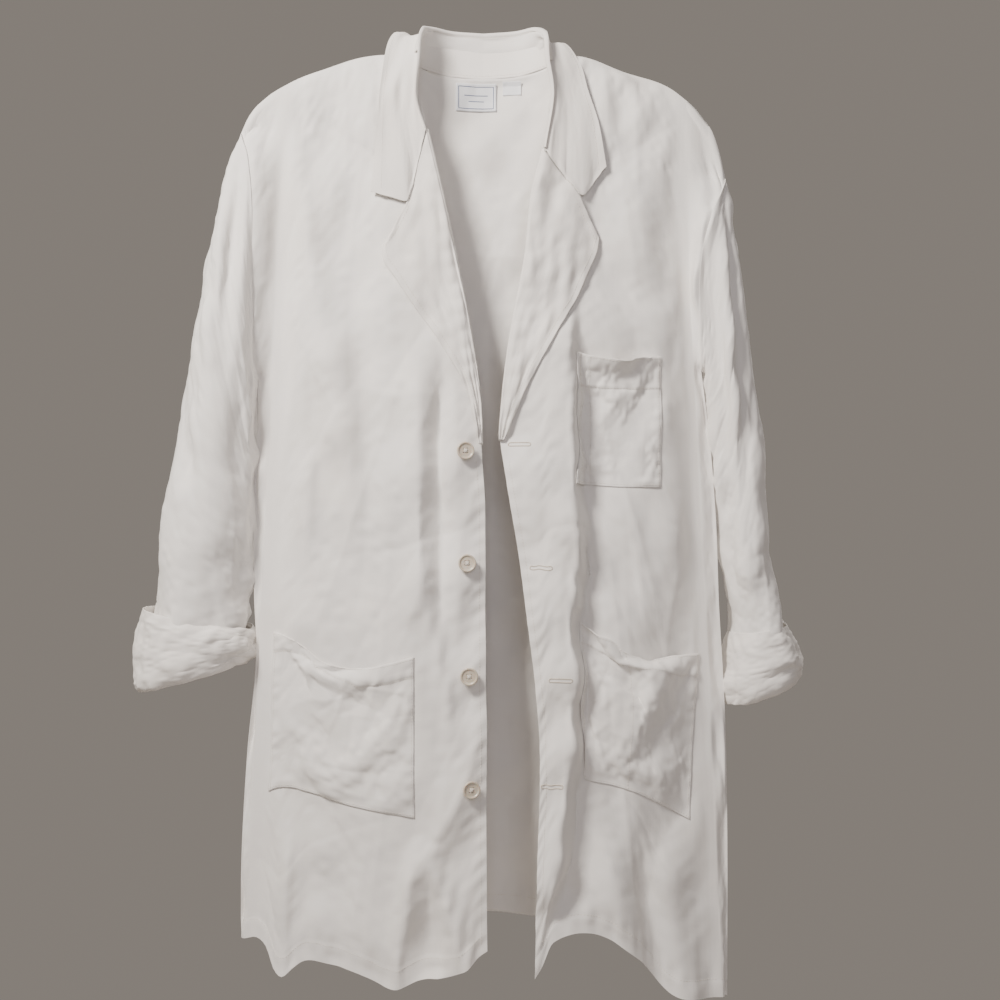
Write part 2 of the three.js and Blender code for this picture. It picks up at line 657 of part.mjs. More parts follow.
/** A woven label hanging from the back neck seam, in front of the back panel's inside. */
function label({ width, height, thick, w }) {
  const side = w < 0 ? RIGHT : LEFT;
  const at = Math.abs(w);
  const y = backY(side);
  const patch = grid(2, 2, (u, v) => [at + width * (u - 0.5), -BACK_NECK_DROP - 4 - height * v]);
  const front = (p, z) => y(Math.abs(p), z) - CLOTH / 2 - PLY_GAP - thick;
  return slab(side, patch, front, (p, z) => front(p, z) + thick);
}

// ---- The coat ------------------------------------------------------------------------------------------

const coat = new THREE.Group();

function add(name, geometry, material, parent = coat) {
  const mesh = new THREE.Mesh(geometry, material);
  mesh.name = name;
  parent.add(mesh);
}

add('back_panel', backPanel(), FINISH.cloth);
add('collar_stand', collarStand(), FINISH.cloth);
add('neck_label', label(NECK_LABEL), FINISH.label);
add('size_label', label(SIZE_LABEL), FINISH.label);

for (const span of ['left', 'back', 'right']) {
  for (const ply of COLLAR_PLIES) add(`${ply.name}_${span}`, collarPly(span, ply), ply.finish);
}

for (const side of [LEFT, RIGHT]) {
  add(`${side.name}_front_side`, frontSide(side), FINISH.cloth);
  add(`${side.name}_front_panel`, frontPanel(side), FINISH.cloth);
  add(`${side.name}_front_interlining`, interlining(side), FINISH.interlining);
  add(`${side.name}_front_facing`, facing(side), FINISH.facing);
  add(`${side.name}_lapel`, lapel(side), FINISH.facing);
  add(`${side.name}_lower_pocket`, pocket(side, side.pocket, LOWER_POCKET), FINISH.cloth);
  add(`${side.name}_sleeve`, sleeve(side), FINISH.cloth);
  add(`${side.name}_cuff`, cuff(side), FINISH.cloth);
}

add('chest_pocket', pocket(LEFT, LEFT.chest, CHEST_POCKET), FINISH.cloth);

for (let n = 0; n < BUTTONS; n++) {
  const frame = buttonFrame(n);
  add(`button_${n + 1}`, buttonDisc(), FINISH.button, frame);
  add(`button_thread_${n + 1}`, buttonThread(), FINISH.thread, frame);
  coat.add(frame);
  add(`buttonhole_${n + 1}`, buttonhole(n), FINISH.thread);
}

export default coat;
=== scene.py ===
"""A white lab coat hanging open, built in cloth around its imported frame.

Lengths are millimetres until a mesh is made, and metres in the mesh. A place on the coat is given by w, its
distance out from the centre line towards either sleeve, and by its drop below the neck points. The coat
faces -Y.
"""

import json
import logging
import math
from dataclasses import dataclass, field
from enum import Enum
from typing import Callable, Sequence

import bmesh
import bpy
import numpy as np
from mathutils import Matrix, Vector

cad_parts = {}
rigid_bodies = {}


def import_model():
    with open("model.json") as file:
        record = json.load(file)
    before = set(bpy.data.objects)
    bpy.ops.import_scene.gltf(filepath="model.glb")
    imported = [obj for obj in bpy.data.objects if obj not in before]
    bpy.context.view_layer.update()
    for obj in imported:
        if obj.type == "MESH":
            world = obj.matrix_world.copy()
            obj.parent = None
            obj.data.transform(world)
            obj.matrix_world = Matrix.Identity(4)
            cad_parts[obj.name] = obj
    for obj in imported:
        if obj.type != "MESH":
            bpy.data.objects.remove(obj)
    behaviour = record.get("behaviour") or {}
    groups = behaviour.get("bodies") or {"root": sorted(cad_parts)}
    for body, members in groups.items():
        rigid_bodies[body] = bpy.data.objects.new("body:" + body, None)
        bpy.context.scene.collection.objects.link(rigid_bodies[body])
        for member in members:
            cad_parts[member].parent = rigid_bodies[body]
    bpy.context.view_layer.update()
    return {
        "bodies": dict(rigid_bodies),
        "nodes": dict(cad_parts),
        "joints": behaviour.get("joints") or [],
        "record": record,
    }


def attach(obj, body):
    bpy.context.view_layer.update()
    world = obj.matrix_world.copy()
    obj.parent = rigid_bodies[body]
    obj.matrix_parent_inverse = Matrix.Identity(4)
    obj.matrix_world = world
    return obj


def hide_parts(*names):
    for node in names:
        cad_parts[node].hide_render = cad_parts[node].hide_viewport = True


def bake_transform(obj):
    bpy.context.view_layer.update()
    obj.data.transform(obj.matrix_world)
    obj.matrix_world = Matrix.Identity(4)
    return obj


Array = np.ndarray
Knots = Sequence[tuple[float, float]]
LOG = logging.getLogger("lab_coat")
MM = 0.001
CLOTH_THICK = 0.55
LINING_THICK = 0.35
FACE_LIFT = CLOTH_THICK / 2 + 0.05  # from the middle of the cloth to a stitch on its face
STITCH_LIFT = 0.33  # the same on the collar, the lapels and the cuffs, which stand a little prouder


class Side(Enum):
    """The wearer's two sides, each with the sign of its x."""

    LEFT = 1
    RIGHT = -1

    @property
    def word(self) -> str:
        """The side's name in piece names."""
        return self.name.lower()


# ---- Curves and grids ----------------------------------------------------------------------------


def smooth(x: Array) -> Array:
    """Smoothstep of x: 3t^2 - 2t^3 with t held between 0 and 1."""
    t = np.clip(x, 0.0, 1.0)
    return t * t * (3.0 - 2.0 * t)


def bell(x: Array) -> Array:
    """A bell of height 1 and unit spread: exp(-x^2)."""
    return np.exp(-np.square(x))


class Track:
    """A smooth function through knots: cubic Hermite, with each slope the average of its neighbours' slopes."""

    def __init__(self, knots: Knots) -> None:
        """Keeps the knots in rising order of place."""
        self.x, self.y = np.array(sorted(knots), dtype=float).T
        self.slope = np.gradient(self.y, self.x)

    def __call__(self, at: Array) -> Array:
        """The value at each place, level outside the knots."""
        q = np.clip(np.asarray(at, dtype=float), self.x[0], self.x[-1])
        i = np.clip(np.searchsorted(self.x, q) - 1, 0, len(self.x) - 2)
        h = self.x[i + 1] - self.x[i]
        t = (q - self.x[i]) / h
        a, b, c, d = 2 * t**3 - 3 * t**2 + 1, t**3 - 2 * t**2 + t, 3 * t**2 - 2 * t**3, t**3 - t**2
        return a * self.y[i] + b * h * self.slope[i] + c * self.y[i + 1] + d * h * self.slope[i + 1]


def spaced(points: Sequence[Sequence[float]], count: int) -> Array:
    """Evenly spaced points on a smooth curve through the given ones.

    Args:
        points: The points that the curve passes through, two or three coordinates each.
        count: How many points to return.

    Returns:
        An array of count rows.
    """
    p = np.array(points, dtype=float)
    steps = np.arange(len(p), dtype=float)
    fine = np.linspace(0.0, len(p) - 1.0, 40 * len(p))
    dense = np.stack([Track(list(zip(steps, column)))(fine) for column in p.T], axis=1)
    run = np.concatenate([[0.0], np.cumsum(np.linalg.norm(np.diff(dense, axis=0), axis=1))])
    at = np.linspace(0.0, run[-1], count)
    return np.stack([np.interp(at, run, column) for column in dense.T], axis=1)


def weights(count: int, made: int, wrap: bool) -> Array:
    """Catmull-Rom weights that turn count samples into made samples, as a matrix."""
    at = np.arange(made) * (count / made if wrap else (count - 1) / (made - 1))
    base = np.minimum(np.floor(at).astype(int), count - (1 if wrap else 2))
    t = at - base
    parts = [
        -0.5 * t + t**2 - 0.5 * t**3,
        1.0 - 2.5 * t**2 + 1.5 * t**3,
        0.5 * t + 2.0 * t**2 - 1.5 * t**3,
        -0.5 * t**2 + 0.5 * t**3,
    ]
    matrix = np.zeros((made, count))
    for step, part in zip((-1, 0, 1, 2), parts):
        place = (base + step) % count if wrap else np.clip(base + step, 0, count - 1)
        np.add.at(matrix, (np.arange(made), place), part)
    return matrix


@dataclass
class Sheet:
    """A grid of points of cloth in mm, with the place of each point on the flat pattern.

    Rows run down the piece. wrap joins the last column to the first. flip turns the outward side round,
    which is otherwise the side that columns-cross-rows points to.
    """

    points: Array
    pattern: Array
    wrap: bool = False
    flip: bool = False
    kept: Array | None = None

    def part(self, rows: slice, cols: slice) -> "Sheet":
        """Some of the rows and columns, with the normals of the whole so that parts meet without a crease."""
        return Sheet(
            self.points[rows, cols], self.pattern[rows, cols], False, self.flip, self.normals()[rows, cols]
        )

    def normals(self) -> Array:
        """Unit normals: the cross product of the central differences along columns and rows."""
        if self.kept is not None:
            return self.kept
        if self.wrap:
            across = np.roll(self.points, -1, 1) - np.roll(self.points, 1, 1)
        else:
            across = np.gradient(self.points, axis=1)
        down = np.gradient(self.points, axis=0)
        n = np.cross(across, down) * (-1.0 if self.flip else 1.0)
        return n / np.maximum(np.linalg.norm(n, axis=2, keepdims=True), 1e-9)

    def refined(self, factor: float) -> "Sheet":
        """The same surface on a finer grid, by Catmull-Rom interpolation along both directions."""
        rows, cols = self.points.shape[:2]
        more_rows = int(round((rows - 1) * factor)) + 1
        more_cols = int(round(cols * factor)) if self.wrap else int(round((cols - 1) * factor)) + 1
        a, b = weights(rows, more_rows, False), weights(cols, more_cols, self.wrap)
        points = np.einsum("ir,jc,rck->ijk", a, b, self.points, optimize=True)
        if self.wrap:
            total = self.pattern[:, -1:, 0] + (self.pattern[:, -1:, 0] - self.pattern[:, -2:-1, 0])
            u = np.linspace(0.0, 1.0, more_cols, endpoint=False)[None, :] * (a @ total)
            v = np.repeat((a @ self.pattern[:, :1, 1]), more_cols, axis=1)
            return Sheet(points, np.stack([u, v], axis=2), True, self.flip)
        pattern = np.einsum("ir,jc,rck->ijk", a, b, self.pattern, optimize=True)
        return Sheet(points, pattern, False, self.flip)

    def moved(self, distance: Array | float) -> "Sheet":
        """The surface moved out along its normals by a distance."""
        step = np.asarray(distance)
        step = step[..., None] if step.ndim else step
        return Sheet(self.points + self.normals() * step, self.pattern, self.wrap, self.flip)

    def sample(self, down: Array, across: Array) -> tuple[Array, Array]:
        """Points and normals at shares of the rows and columns, by bilinear interpolation."""
        rows, cols = self.points.shape[:2]
        r = np.clip(np.asarray(down, dtype=float), 0, 1) * (rows - 1)
        c = np.asarray(across, dtype=float) * (cols if self.wrap else cols - 1)
        c = c % cols if self.wrap else np.clip(c, 0, cols - 1)
        r0 = np.minimum(r.astype(int), rows - 2)
        c0 = c.astype(int) if self.wrap else np.minimum(c.astype(int), cols - 2)
        fr, fc = (r - r0)[..., None], (c - c0)[..., None]
        c1 = (c0 + 1) % cols
        made = []
        for grid in (self.points, self.normals()):
            top = grid[r0, c0] * (1 - fc) + grid[r0, c1] * fc
            low = grid[r0 + 1, c0] * (1 - fc) + grid[r0 + 1, c1] * fc
            made.append(top * (1 - fr) + low * fr)
        return made[0], made[1] / np.linalg.norm(made[1], axis=-1, keepdims=True)

    def flat_size(self) -> tuple[float, float, float]:
        """The flat cloth's width, length and area in metres and square metres.

        The width is the longest row on the pattern, the length the longest column, and the area the sum of
        half the cross products of the diagonals of the grid's cells.
        """
        p = np.concatenate([self.points, self.points[:, :1]], axis=1) if self.wrap else self.points
        cross = np.cross(p[1:, 1:] - p[:-1, :-1], p[1:, :-1] - p[:-1, 1:])
        area = float(np.linalg.norm(cross, axis=2).sum()) / 2
        width = np.linalg.norm(np.diff(p, axis=1), axis=2).sum(axis=1).max()
        length = np.linalg.norm(np.diff(p, axis=0), axis=2).sum(axis=0).max()
        width = min(width, area / (0.4 * length))
        return float(width) * MM, float(length) * MM, area * MM * MM


def measured_pattern(points: Array, wrap: bool = False) -> Array:
    """Pattern places: length along each row from its middle column, and along the middle column."""
    rows, cols = points.shape[:2]
    across = np.linalg.norm(np.diff(points, axis=1), axis=2)
    u = np.concatenate([np.zeros((rows, 1)), np.cumsum(across, axis=1)], axis=1)
    if not wrap:
        u = u - u[:, cols // 2 : cols // 2 + 1]
    down = np.linalg.norm(np.diff(points[:, cols // 2], axis=0), axis=1)
    v = np.concatenate([[0.0], np.cumsum(down)])[:, None].repeat(cols, axis=1)
    return np.stack([u, v], axis=2)


@dataclass(frozen=True)
class Creases:
    """Crisp creases left by folding, sitting and washing: short ridges and valleys scattered over the cloth.

    Each runs at an angle near lean from straight down, is reach long, and has a sharp crest: its height
    falls as exp(-distance / width) to either side and as a bell along it.
    """

    count: int
    height: float
    width: tuple[float, float] = (4.0, 12.0)
    reach: tuple[float, float] = (50.0, 190.0)
    lean: float = 0.0
    spread: float = 0.55
    seed: int = 1

    def relief(self, u: Array, v: Array) -> Array:
        """Height of all the creases at places on the pattern."""
        random = np.random.default_rng(self.seed)
        total = np.zeros_like(u)
        low_u, high_u, low_v, high_v = u.min(), u.max(), v.min(), v.max()
        for _ in range(self.count):
            at_u, at_v = random.uniform(low_u, high_u), random.uniform(low_v, high_v)
            turn = self.lean + random.normal(0.0, self.spread)
            high = self.height * random.choice([-0.8, 1.0]) * random.uniform(0.4, 1.0)
            wide, long = random.uniform(*self.width), random.uniform(*self.reach)
            bend = random.uniform(-0.0012, 0.0012)
            du, dv = u - at_u, v - at_v
            along = du * math.sin(turn) + dv * math.cos(turn)
            away = du * math.cos(turn) - dv * math.sin(turn) + bend * along**2
            total += high * np.exp(-np.sqrt(np.square(away) + 2.0) / wide) * bell(along / long)
        return total


# ---- Meshes --------------------------------------------------------------------------------------


def mesh_object(
    name: str, verts: Array, faces: Array, uv: Array | None = None, sharp: Array | None = None
) -> bpy.types.Object:
    """Makes a smooth-shaded object at the origin.

    Args:
        name: The piece's name.
        verts: Vertices in mm, n by 3.
        faces: Quads as vertex numbers, m by 4.
        uv: Pattern places in mm for each face corner, m by 4 by 2.
        sharp: Which faces are cut edges, shaded flat, so that the cloth beside them keeps its own shading.

    Returns:
        The new object, linked to the scene.
    """
    mesh = bpy.data.meshes.new(name)
    mesh.vertices.add(len(verts))
    mesh.vertices.foreach_set("co", (verts * MM).astype(np.float32).ravel())
    mesh.loops.add(faces.size)
    mesh.loops.foreach_set("vertex_index", faces.astype(np.int32).ravel())
    mesh.polygons.add(len(faces))
    mesh.polygons.foreach_set("loop_start", np.arange(0, faces.size, 4, dtype=np.int32))
    mesh.polygons.foreach_set("use_smooth", np.ones(len(faces), dtype=bool) if sharp is None else ~sharp)
    if uv is not None:
        layer = mesh.uv_layers.new(name="pattern")
        layer.data.foreach_set("uv", (uv * MM).astype(np.float32).ravel())
    mesh.update(calc_edges=True)
    mesh.validate()
    made = bpy.data.objects.new(name, mesh)
    bpy.context.scene.collection.objects.link(made)
    return made


def grid_faces(rows: int, cols: int, wrap: bool) -> Array:
    """Quads of a grid of vertices, wound so that columns-cross-rows is their normal."""
    number = np.arange(rows * cols).reshape(rows, cols)
    right = np.roll(number, -1, axis=1) if wrap else number[:, 1:]
    left = number if wrap else number[:, :-1]
    return np.stack([left[:-1], right[:-1], right[1:], left[1:]], axis=-1).reshape(-1, 4)


def rim_loops(rows: int, cols: int, wrap: bool) -> list[Array]:
    """The vertex numbers along each open edge of a grid, in the direction of its faces."""
    number = np.arange(rows * cols).reshape(rows, cols)
    if wrap:
        return [np.append(number[0], number[0, 0]), np.append(number[-1][::-1], number[-1, -1])]
    around = [number[0], number[1:, -1], number[-1, -2::-1], number[-2:0:-1, 0], number[0, :1]]
    return [np.concatenate(around)]


def cloth_object(name: str, sheet: Sheet, thickness: float = CLOTH_THICK) -> bpy.types.Object:
    """A closed layer of cloth: the sheet moved out and in by half its thickness, and closed along its edges."""
    rows, cols = sheet.points.shape[:2]
    n = sheet.normals() * thickness / 2
    count = rows * cols
    verts = np.concatenate([(sheet.points + n).reshape(-1, 3), (sheet.points - n).reshape(-1, 3)])
    outer = grid_faces(rows, cols, sheet.wrap)
    u_total = 0.0
    if sheet.wrap:
        u_total = sheet.pattern[:, -1, 0].mean() * cols / max(cols - 1, 1)
    flat = sheet.pattern.reshape(-1, 2)
    uv = flat[outer]
    if sheet.wrap:
        last = np.zeros((rows - 1, cols), dtype=bool)
        last[:, -1] = True
        uv[last.ravel(), 1:3, 0] += u_total
    parts, uvs = [outer, outer[:, ::-1] + count], [uv, uv[:, ::-1]]
    for loop in rim_loops(rows, cols, sheet.wrap):
        a, b = loop[:-1], loop[1:]
        parts.append(np.stack([b, a, a + count, b + count], axis=1))
        uvs.append(np.stack([flat[b], flat[a], flat[a], flat[b]], axis=1))
    faces, corners = np.concatenate(parts), np.concatenate(uvs)
    if sheet.flip:
        faces, corners = faces[:, ::-1], corners[:, ::-1]
    rim = np.arange(len(faces)) >= 2 * len(outer)
    made = mesh_object(name, verts, faces, corners, rim)
    if sheet.kept is not None:
        shade(made, verts, np.concatenate([n.reshape(-1, 3), -n.reshape(-1, 3)]), faces, rim)
    return made


def shade(piece: bpy.types.Object, verts: Array, normals: Array, faces: Array, rim: Array) -> None:
    """Shades cloth with given normals, so that it meets its neighbour without a line.

    Args:
        piece: The cloth.
        verts: Its vertices.
        normals: A normal of any length for each vertex.
        faces: Quads as vertex numbers.
        rim: Which faces are cut edges. They keep their own normal, the cross product of the diagonals.
    """
    corner = normals[faces]
    p = verts[faces]
    flat = np.cross(p[:, 2] - p[:, 0], p[:, 3] - p[:, 1])
    corner[rim] = flat[rim][:, None]
    corner /= np.maximum(np.linalg.norm(corner, axis=2, keepdims=True), 1e-9)
    piece.data.normals_split_custom_set(corner.reshape(-1, 3).tolist())


# ---- Settling cloth ------------------------------------------------------------------------------


@dataclass(frozen=True)
class Settle:
    """How a piece of cloth settles into its wrinkles.

    growth is how much more cloth there is than room for it along x, y and z, stiffness of bending sets how
    wide the wrinkles are, and hold is how firmly the cloth keeps its overall shape.
    """

    growth: tuple[float, float, float] = (1.05, 1.0, 1.02)
    bending: float = 0.6
    hold: float = 0.05
    frames: int = 22
    gravity: float = 0.25
    seed: int = 3
    rough: float = 0.5
    swell: float = 1.6

    def run(self, sheet: Sheet, pins: Array) -> Sheet:
        """Settles a sheet by cloth simulation.

        Args:
            sheet: The cloth before it wrinkles.
            pins: For each point, 1 where it is sewn fast and 0 where it is free.
        """
        rows, cols = sheet.points.shape[:2]
        random = np.random.default_rng(self.seed)
        coarse = random.normal(0.0, self.swell, (rows // 5 + 2, cols // 4 + 2))
        broad = weights(coarse.shape[0], rows, False) @ coarse @ weights(coarse.shape[1], cols, False).T
        noise = (broad + random.normal(0.0, self.rough, (rows, cols)))[..., None] * (1.0 - pins[..., None])
        start = sheet.points + sheet.normals() * noise
        piece = mesh_object("settling", start.reshape(-1, 3), grid_faces(rows, cols, sheet.wrap))
        piece.shape_key_add(name="start")
        grown = piece.shape_key_add(name="grown")
        centre = sheet.points.reshape(-1, 3).mean(axis=0)
        wide = (sheet.points.reshape(-1, 3) - centre) * np.array(self.growth) + centre
        grown.data.foreach_set("co", (wide * MM).astype(np.float32).ravel())
        group = piece.vertex_groups.new(name="hold")
        hold = np.clip(pins + self.hold * (1.0 - pins), 0.0, 1.0).ravel()
        for index, value in enumerate(hold.tolist()):
            group.add([index], value, "REPLACE")
        cloth = piece.modifiers.new("cloth", "CLOTH")
        made = cloth.settings
        made.quality = 6
        made.mass = 0.12
        made.tension_stiffness = made.compression_stiffness = 18
        made.shear_stiffness = 6
        made.bending_stiffness = self.bending
        made.air_damping = 3.0
        made.vertex_group_mass = "hold"
        made.pin_stiffness = 1.0
        made.rest_shape_key = grown
        made.effector_weights.gravity = self.gravity
        cloth.collision_settings.use_collision = False
        scene = bpy.context.scene
        cloth.point_cache.frame_start, cloth.point_cache.frame_end = 1, self.frames
        for frame in range(1, self.frames + 1):
            scene.frame_set(frame)
        shape = piece.evaluated_get(bpy.context.evaluated_depsgraph_get()).to_mesh()
        flat = np.empty(rows * cols * 3, dtype=np.float32)
        shape.vertices.foreach_get("co", flat)
        scene.frame_set(1)
        data = piece.data
        bpy.data.objects.remove(piece)
        bpy.data.meshes.remove(data)
        return Sheet(flat.reshape(rows, cols, 3).astype(float) / MM, sheet.pattern, sheet.wrap, sheet.flip)


# ---- Finishes ------------------------------------------------------------------------------------


def linear(hex_colour: str) -> tuple[float, float, float, float]:
    """An sRGB hex colour as linear red, green, blue and alpha."""
    values = [int(hex_colour[i : i + 2], 16) / 255 for i in (1, 3, 5)]
    return (*[v / 12.92 if v <= 0.04045 else ((v + 0.055) / 1.055) ** 2.4 for v in values], 1.0)


def blank_material(name: str) -> bpy.types.Material:
    """A material with no nodes yet."""
    made = bpy.data.materials.new(name)
    made.use_nodes = True
    made.node_tree.nodes.clear()
    return made


def add_node(
    material: bpy.types.Material, kind: str, settings: dict | None = None, links: dict | None = None
) -> bpy.types.Node:
    """Adds a shader node.

    Args:
        material: The material to add to.
        kind: Blender's node type.
        settings: Property names, or input names or numbers, with their values.
        links: Input names or numbers with the output sockets that feed them.

    Returns:
        The new node.
    """
    tree = material.node_tree
    node = tree.nodes.new(kind)
    for key, value in (settings or {}).items():
        if isinstance(key, int) or key in node.inputs:
            node.inputs[key].default_value = value
        else:
            setattr(node, key, value)
    for key, socket in (links or {}).items():
        tree.links.new(socket, node.inputs[key])
    return node


@dataclass(frozen=True)
class WovenCotton:
    """Woven poly-cotton: plain matt cloth, with a thread relief and faint uneven tone from washing and wear."""

    name: str
    colour: str
    worn: str
    pitch_mm: float = 0.9
    relief_mm: float = 0.05
    roughness: float = 0.86
    sheen: float = 0.25
    crinkle_per_m: float = 17.0
    crinkle_mm: float = 1.1

    def make(self) -> bpy.types.Material:
        """Builds the material: tone from large noise, relief from two crossed thread waves on the pattern."""
        m = blank_material(self.name)
        place = add_node(m, "ShaderNodeTexCoord")
        uv = place.outputs["UV"]
        tone = add_node(
            m, "ShaderNodeTexNoise", {"Scale": 9.0, "Detail": 4.0, "Roughness": 0.55},
            {"Vector": place.outputs["Object"]},
        )
        spread = add_node(
            m, "ShaderNodeMapRange", {"From Min": 0.42, "From Max": 0.78, "To Min": 0.0, "To Max": 0.55},
            {"Value": tone.outputs["Fac"]},
        )
        colour = add_node(
            m, "ShaderNodeMix", {"data_type": "RGBA"}, {0: spread.outputs["Result"]}
        )
        colour.inputs[6].default_value = linear(self.colour)
        colour.inputs[7].default_value = linear(self.worn)
        waves = []
        for turn in ("X", "Y"):
            wave = add_node(
                m, "ShaderNodeTexWave",
                {"wave_type": "BANDS", "bands_direction": turn, "wave_profile": "SIN",
                 "Scale": 1.0 / (self.pitch_mm * MM) / 20.0, "Distortion": 0.6, "Detail": 1.0},
                {"Vector": uv},
            )
            waves.append(wave.outputs["Fac"])
        weave = add_node(m, "ShaderNodeMath", {"operation": "ADD"}, {0: waves[0], 1: waves[1]})
        slub = add_node(
            m, "ShaderNodeTexNoise", {"Scale": 420.0, "Detail": 2.0, "Roughness": 0.6}, {"Vector": uv}
        )
        both = add_node(
            m, "ShaderNodeMath", {"operation": "ADD"}, {0: weave.outputs[0], 1: slub.outputs["Fac"]}
        )
        bump = add_node(
            m, "ShaderNodeBump", {"Strength": 0.35, "Distance": self.relief_mm * MM},
            {"Height": both.outputs[0]},
        )
        crinkle = add_node(
            m, "ShaderNodeTexNoise",
            {"noise_type": "RIDGED_MULTIFRACTAL", "Scale": self.crinkle_per_m, "Detail": 3.0, "Roughness": 0.5,
             "Lacunarity": 2.1, "Distortion": 0.8},
            {"Vector": uv},
        )
        bump = add_node(
            m, "ShaderNodeBump", {"Strength": 0.5, "Distance": self.crinkle_mm * MM},
            {"Height": crinkle.outputs["Fac"], "Normal": bump.outputs["Normal"]},
        )
        shader = add_node(
            m, "ShaderNodeBsdfPrincipled",
            {"Roughness": self.roughness, "Sheen Weight": self.sheen, "Sheen Roughness": 0.5, "IOR": 1.5,
             "Specular IOR Level": 0.25},
            {"Base Color": colour.outputs[2], "Normal": bump.outputs["Normal"]},
        )
        add_node(m, "ShaderNodeOutputMaterial", links={"Surface": shader.outputs["BSDF"]})
        return m


@dataclass(frozen=True)
class PearlPolyester:
    """Cast polyester button stock: creamy, faintly clouded and semi-gloss, as tumbled buttons are."""

    name: str = "pearl_polyester"
    colour: str = "#d9cfbf"
    cloud: str = "#c2b49f"
    roughness: float = 0.28

    def make(self) -> bpy.types.Material:
        """Builds the material: two creams mixed by a soft cloud noise, under a clear semi-gloss surface."""
        m = blank_material(self.name)
        place = add_node(m, "ShaderNodeTexCoord")
        cloud = add_node(
            m, "ShaderNodeTexNoise", {"Scale": 190.0, "Detail": 3.0, "Distortion": 0.8},
            {"Vector": place.outputs["Object"]},
        )
        colour = add_node(m, "ShaderNodeMix", {"data_type": "RGBA"}, {0: cloud.outputs["Fac"]})
        colour.inputs[6].default_value = linear(self.colour)
        colour.inputs[7].default_value = linear(self.cloud)
        shader = add_node(
            m, "ShaderNodeBsdfPrincipled",
            {"Roughness": self.roughness, "IOR": 1.55, "Coat Weight": 0.3, "Coat Roughness": 0.15,
             "Subsurface Weight": 0.12, "Subsurface Scale": 0.002},
            {"Base Color": colour.outputs[2]},
        )
        add_node(m, "ShaderNodeOutputMaterial", links={"Surface": shader.outputs["BSDF"]})
        return m


@dataclass(frozen=True)
class SpunThread:
    """Spun polyester sewing thread: matt, with a fine twist along its length."""

    name: str
    colour: str
    roughness: float = 0.7

    def make(self) -> bpy.types.Material:
        """Builds the material: one tone varied by fine noise."""
        m = blank_material(self.name)
        place = add_node(m, "ShaderNodeTexCoord")
        fuzz = add_node(
            m, "ShaderNodeTexNoise", {"Scale": 2500.0, "Detail": 2.0}, {"Vector": place.outputs["Object"]}
        )
        bump = add_node(
            m, "ShaderNodeBump", {"Strength": 0.4, "Distance": 0.0001}, {"Height": fuzz.outputs["Fac"]}
        )
        shader = add_node(
            m, "ShaderNodeBsdfPrincipled", {"Roughness": self.roughness, "Base Color": linear(self.colour)},
            {"Normal": bump.outputs["Normal"]},
        )
        add_node(m, "ShaderNodeOutputMaterial", links={"Surface": shader.outputs["BSDF"]})
        return m


class Finishes:
    """Every finish of the coat, made once."""

    def __init__(self) -> None:
        """Makes the materials."""
        self.cloth = WovenCotton("white_poly_cotton", "#f1eeea", "#ebe6df").make()
        self.facing = WovenCotton("white_poly_cotton_reverse", "#efebe6", "#e9e2d9").make()
        self.lining = WovenCotton("fused_interlining", "#f3f1ec", "#efece6", 1.4, 0.08, 0.95, 0.1).make()
        self.label = WovenCotton("label_satin", "#e8eaee", "#dfe2e8", 0.5, 0.02, 0.5, 0.1).make()
        self.label_edge = WovenCotton("label_edging", "#38507f", "#44598a", 0.5, 0.02, 0.5, 0.1).make()
        self.button = PearlPolyester().make()
        self.thread = SpunThread("sewing_thread", "#e6e0d6").make()
        self.shade_thread = SpunThread("buttonhole_twist", "#ddd4c6").make()


# ---- The coat's lines ----------------------------------------------------------------------------


@dataclass(frozen=True)
class Fold:
    """A soft fold that runs down the cloth.

    path gives its crest as drop and w, height how far it stands forward, and inner and outer how wide it is
    towards the front edge and towards the sleeve. It fades in and out over the lengths in fade.
    """

    path: Knots
    height: float
    inner: float
    outer: float
    fade: tuple[float, float] = (60.0, 60.0)

    def relief(self, w: Array, drop: Array) -> Array:
        """Height at each place: a bell of the distance from the crest, narrower or wider on each side."""
        crest = Track(self.path)
        away = w - crest(drop)
        width = np.where(away < 0, self.inner, self.outer)
        first, last = self.path[0][0], self.path[-1][0]
        along = smooth((drop - first) / max(self.fade[0], 1e-6) + (0 if self.fade[0] else 1))
        gone = smooth((last - drop) / max(self.fade[1], 1e-6) + (0 if self.fade[1] else 1))
        return self.height * bell(away / width) * along * gone


@dataclass(frozen=True)
class Lines:
    """One side's seams and edges, each as a smooth line."""

    side: Side
    shoulder: Knots  # w to drop: shoulder seam, then over the shoulder to its point
    seam: Knots  # drop to w: armhole, then side seam
    underarm: float
    edge: Knots  # drop to w: neckline, roll line, then the open front edge
    hem: Knots  # w to drop
    folds: tuple[Fold, ...] = ()
    armhole_depth: float = 20.0
    flat_top: float = 15.0  # how quickly the front falls forward from the shoulder seam

    @property
    def shoulder_point(self) -> tuple[float, float]:
        """The w and drop of the shoulder point."""
        return self.shoulder[-1]

    def armhole_y(self, drop: Array) -> Array:
        """Depth of the armhole edge: a half ellipse between the shoulder point and the underarm."""
        top = self.shoulder_point[1]
        c = np.clip(2 * (drop - top) / (self.underarm - top) - 1, -1, 1)
        return self.armhole_depth * np.sqrt(1 - c * c) * (drop < self.underarm)


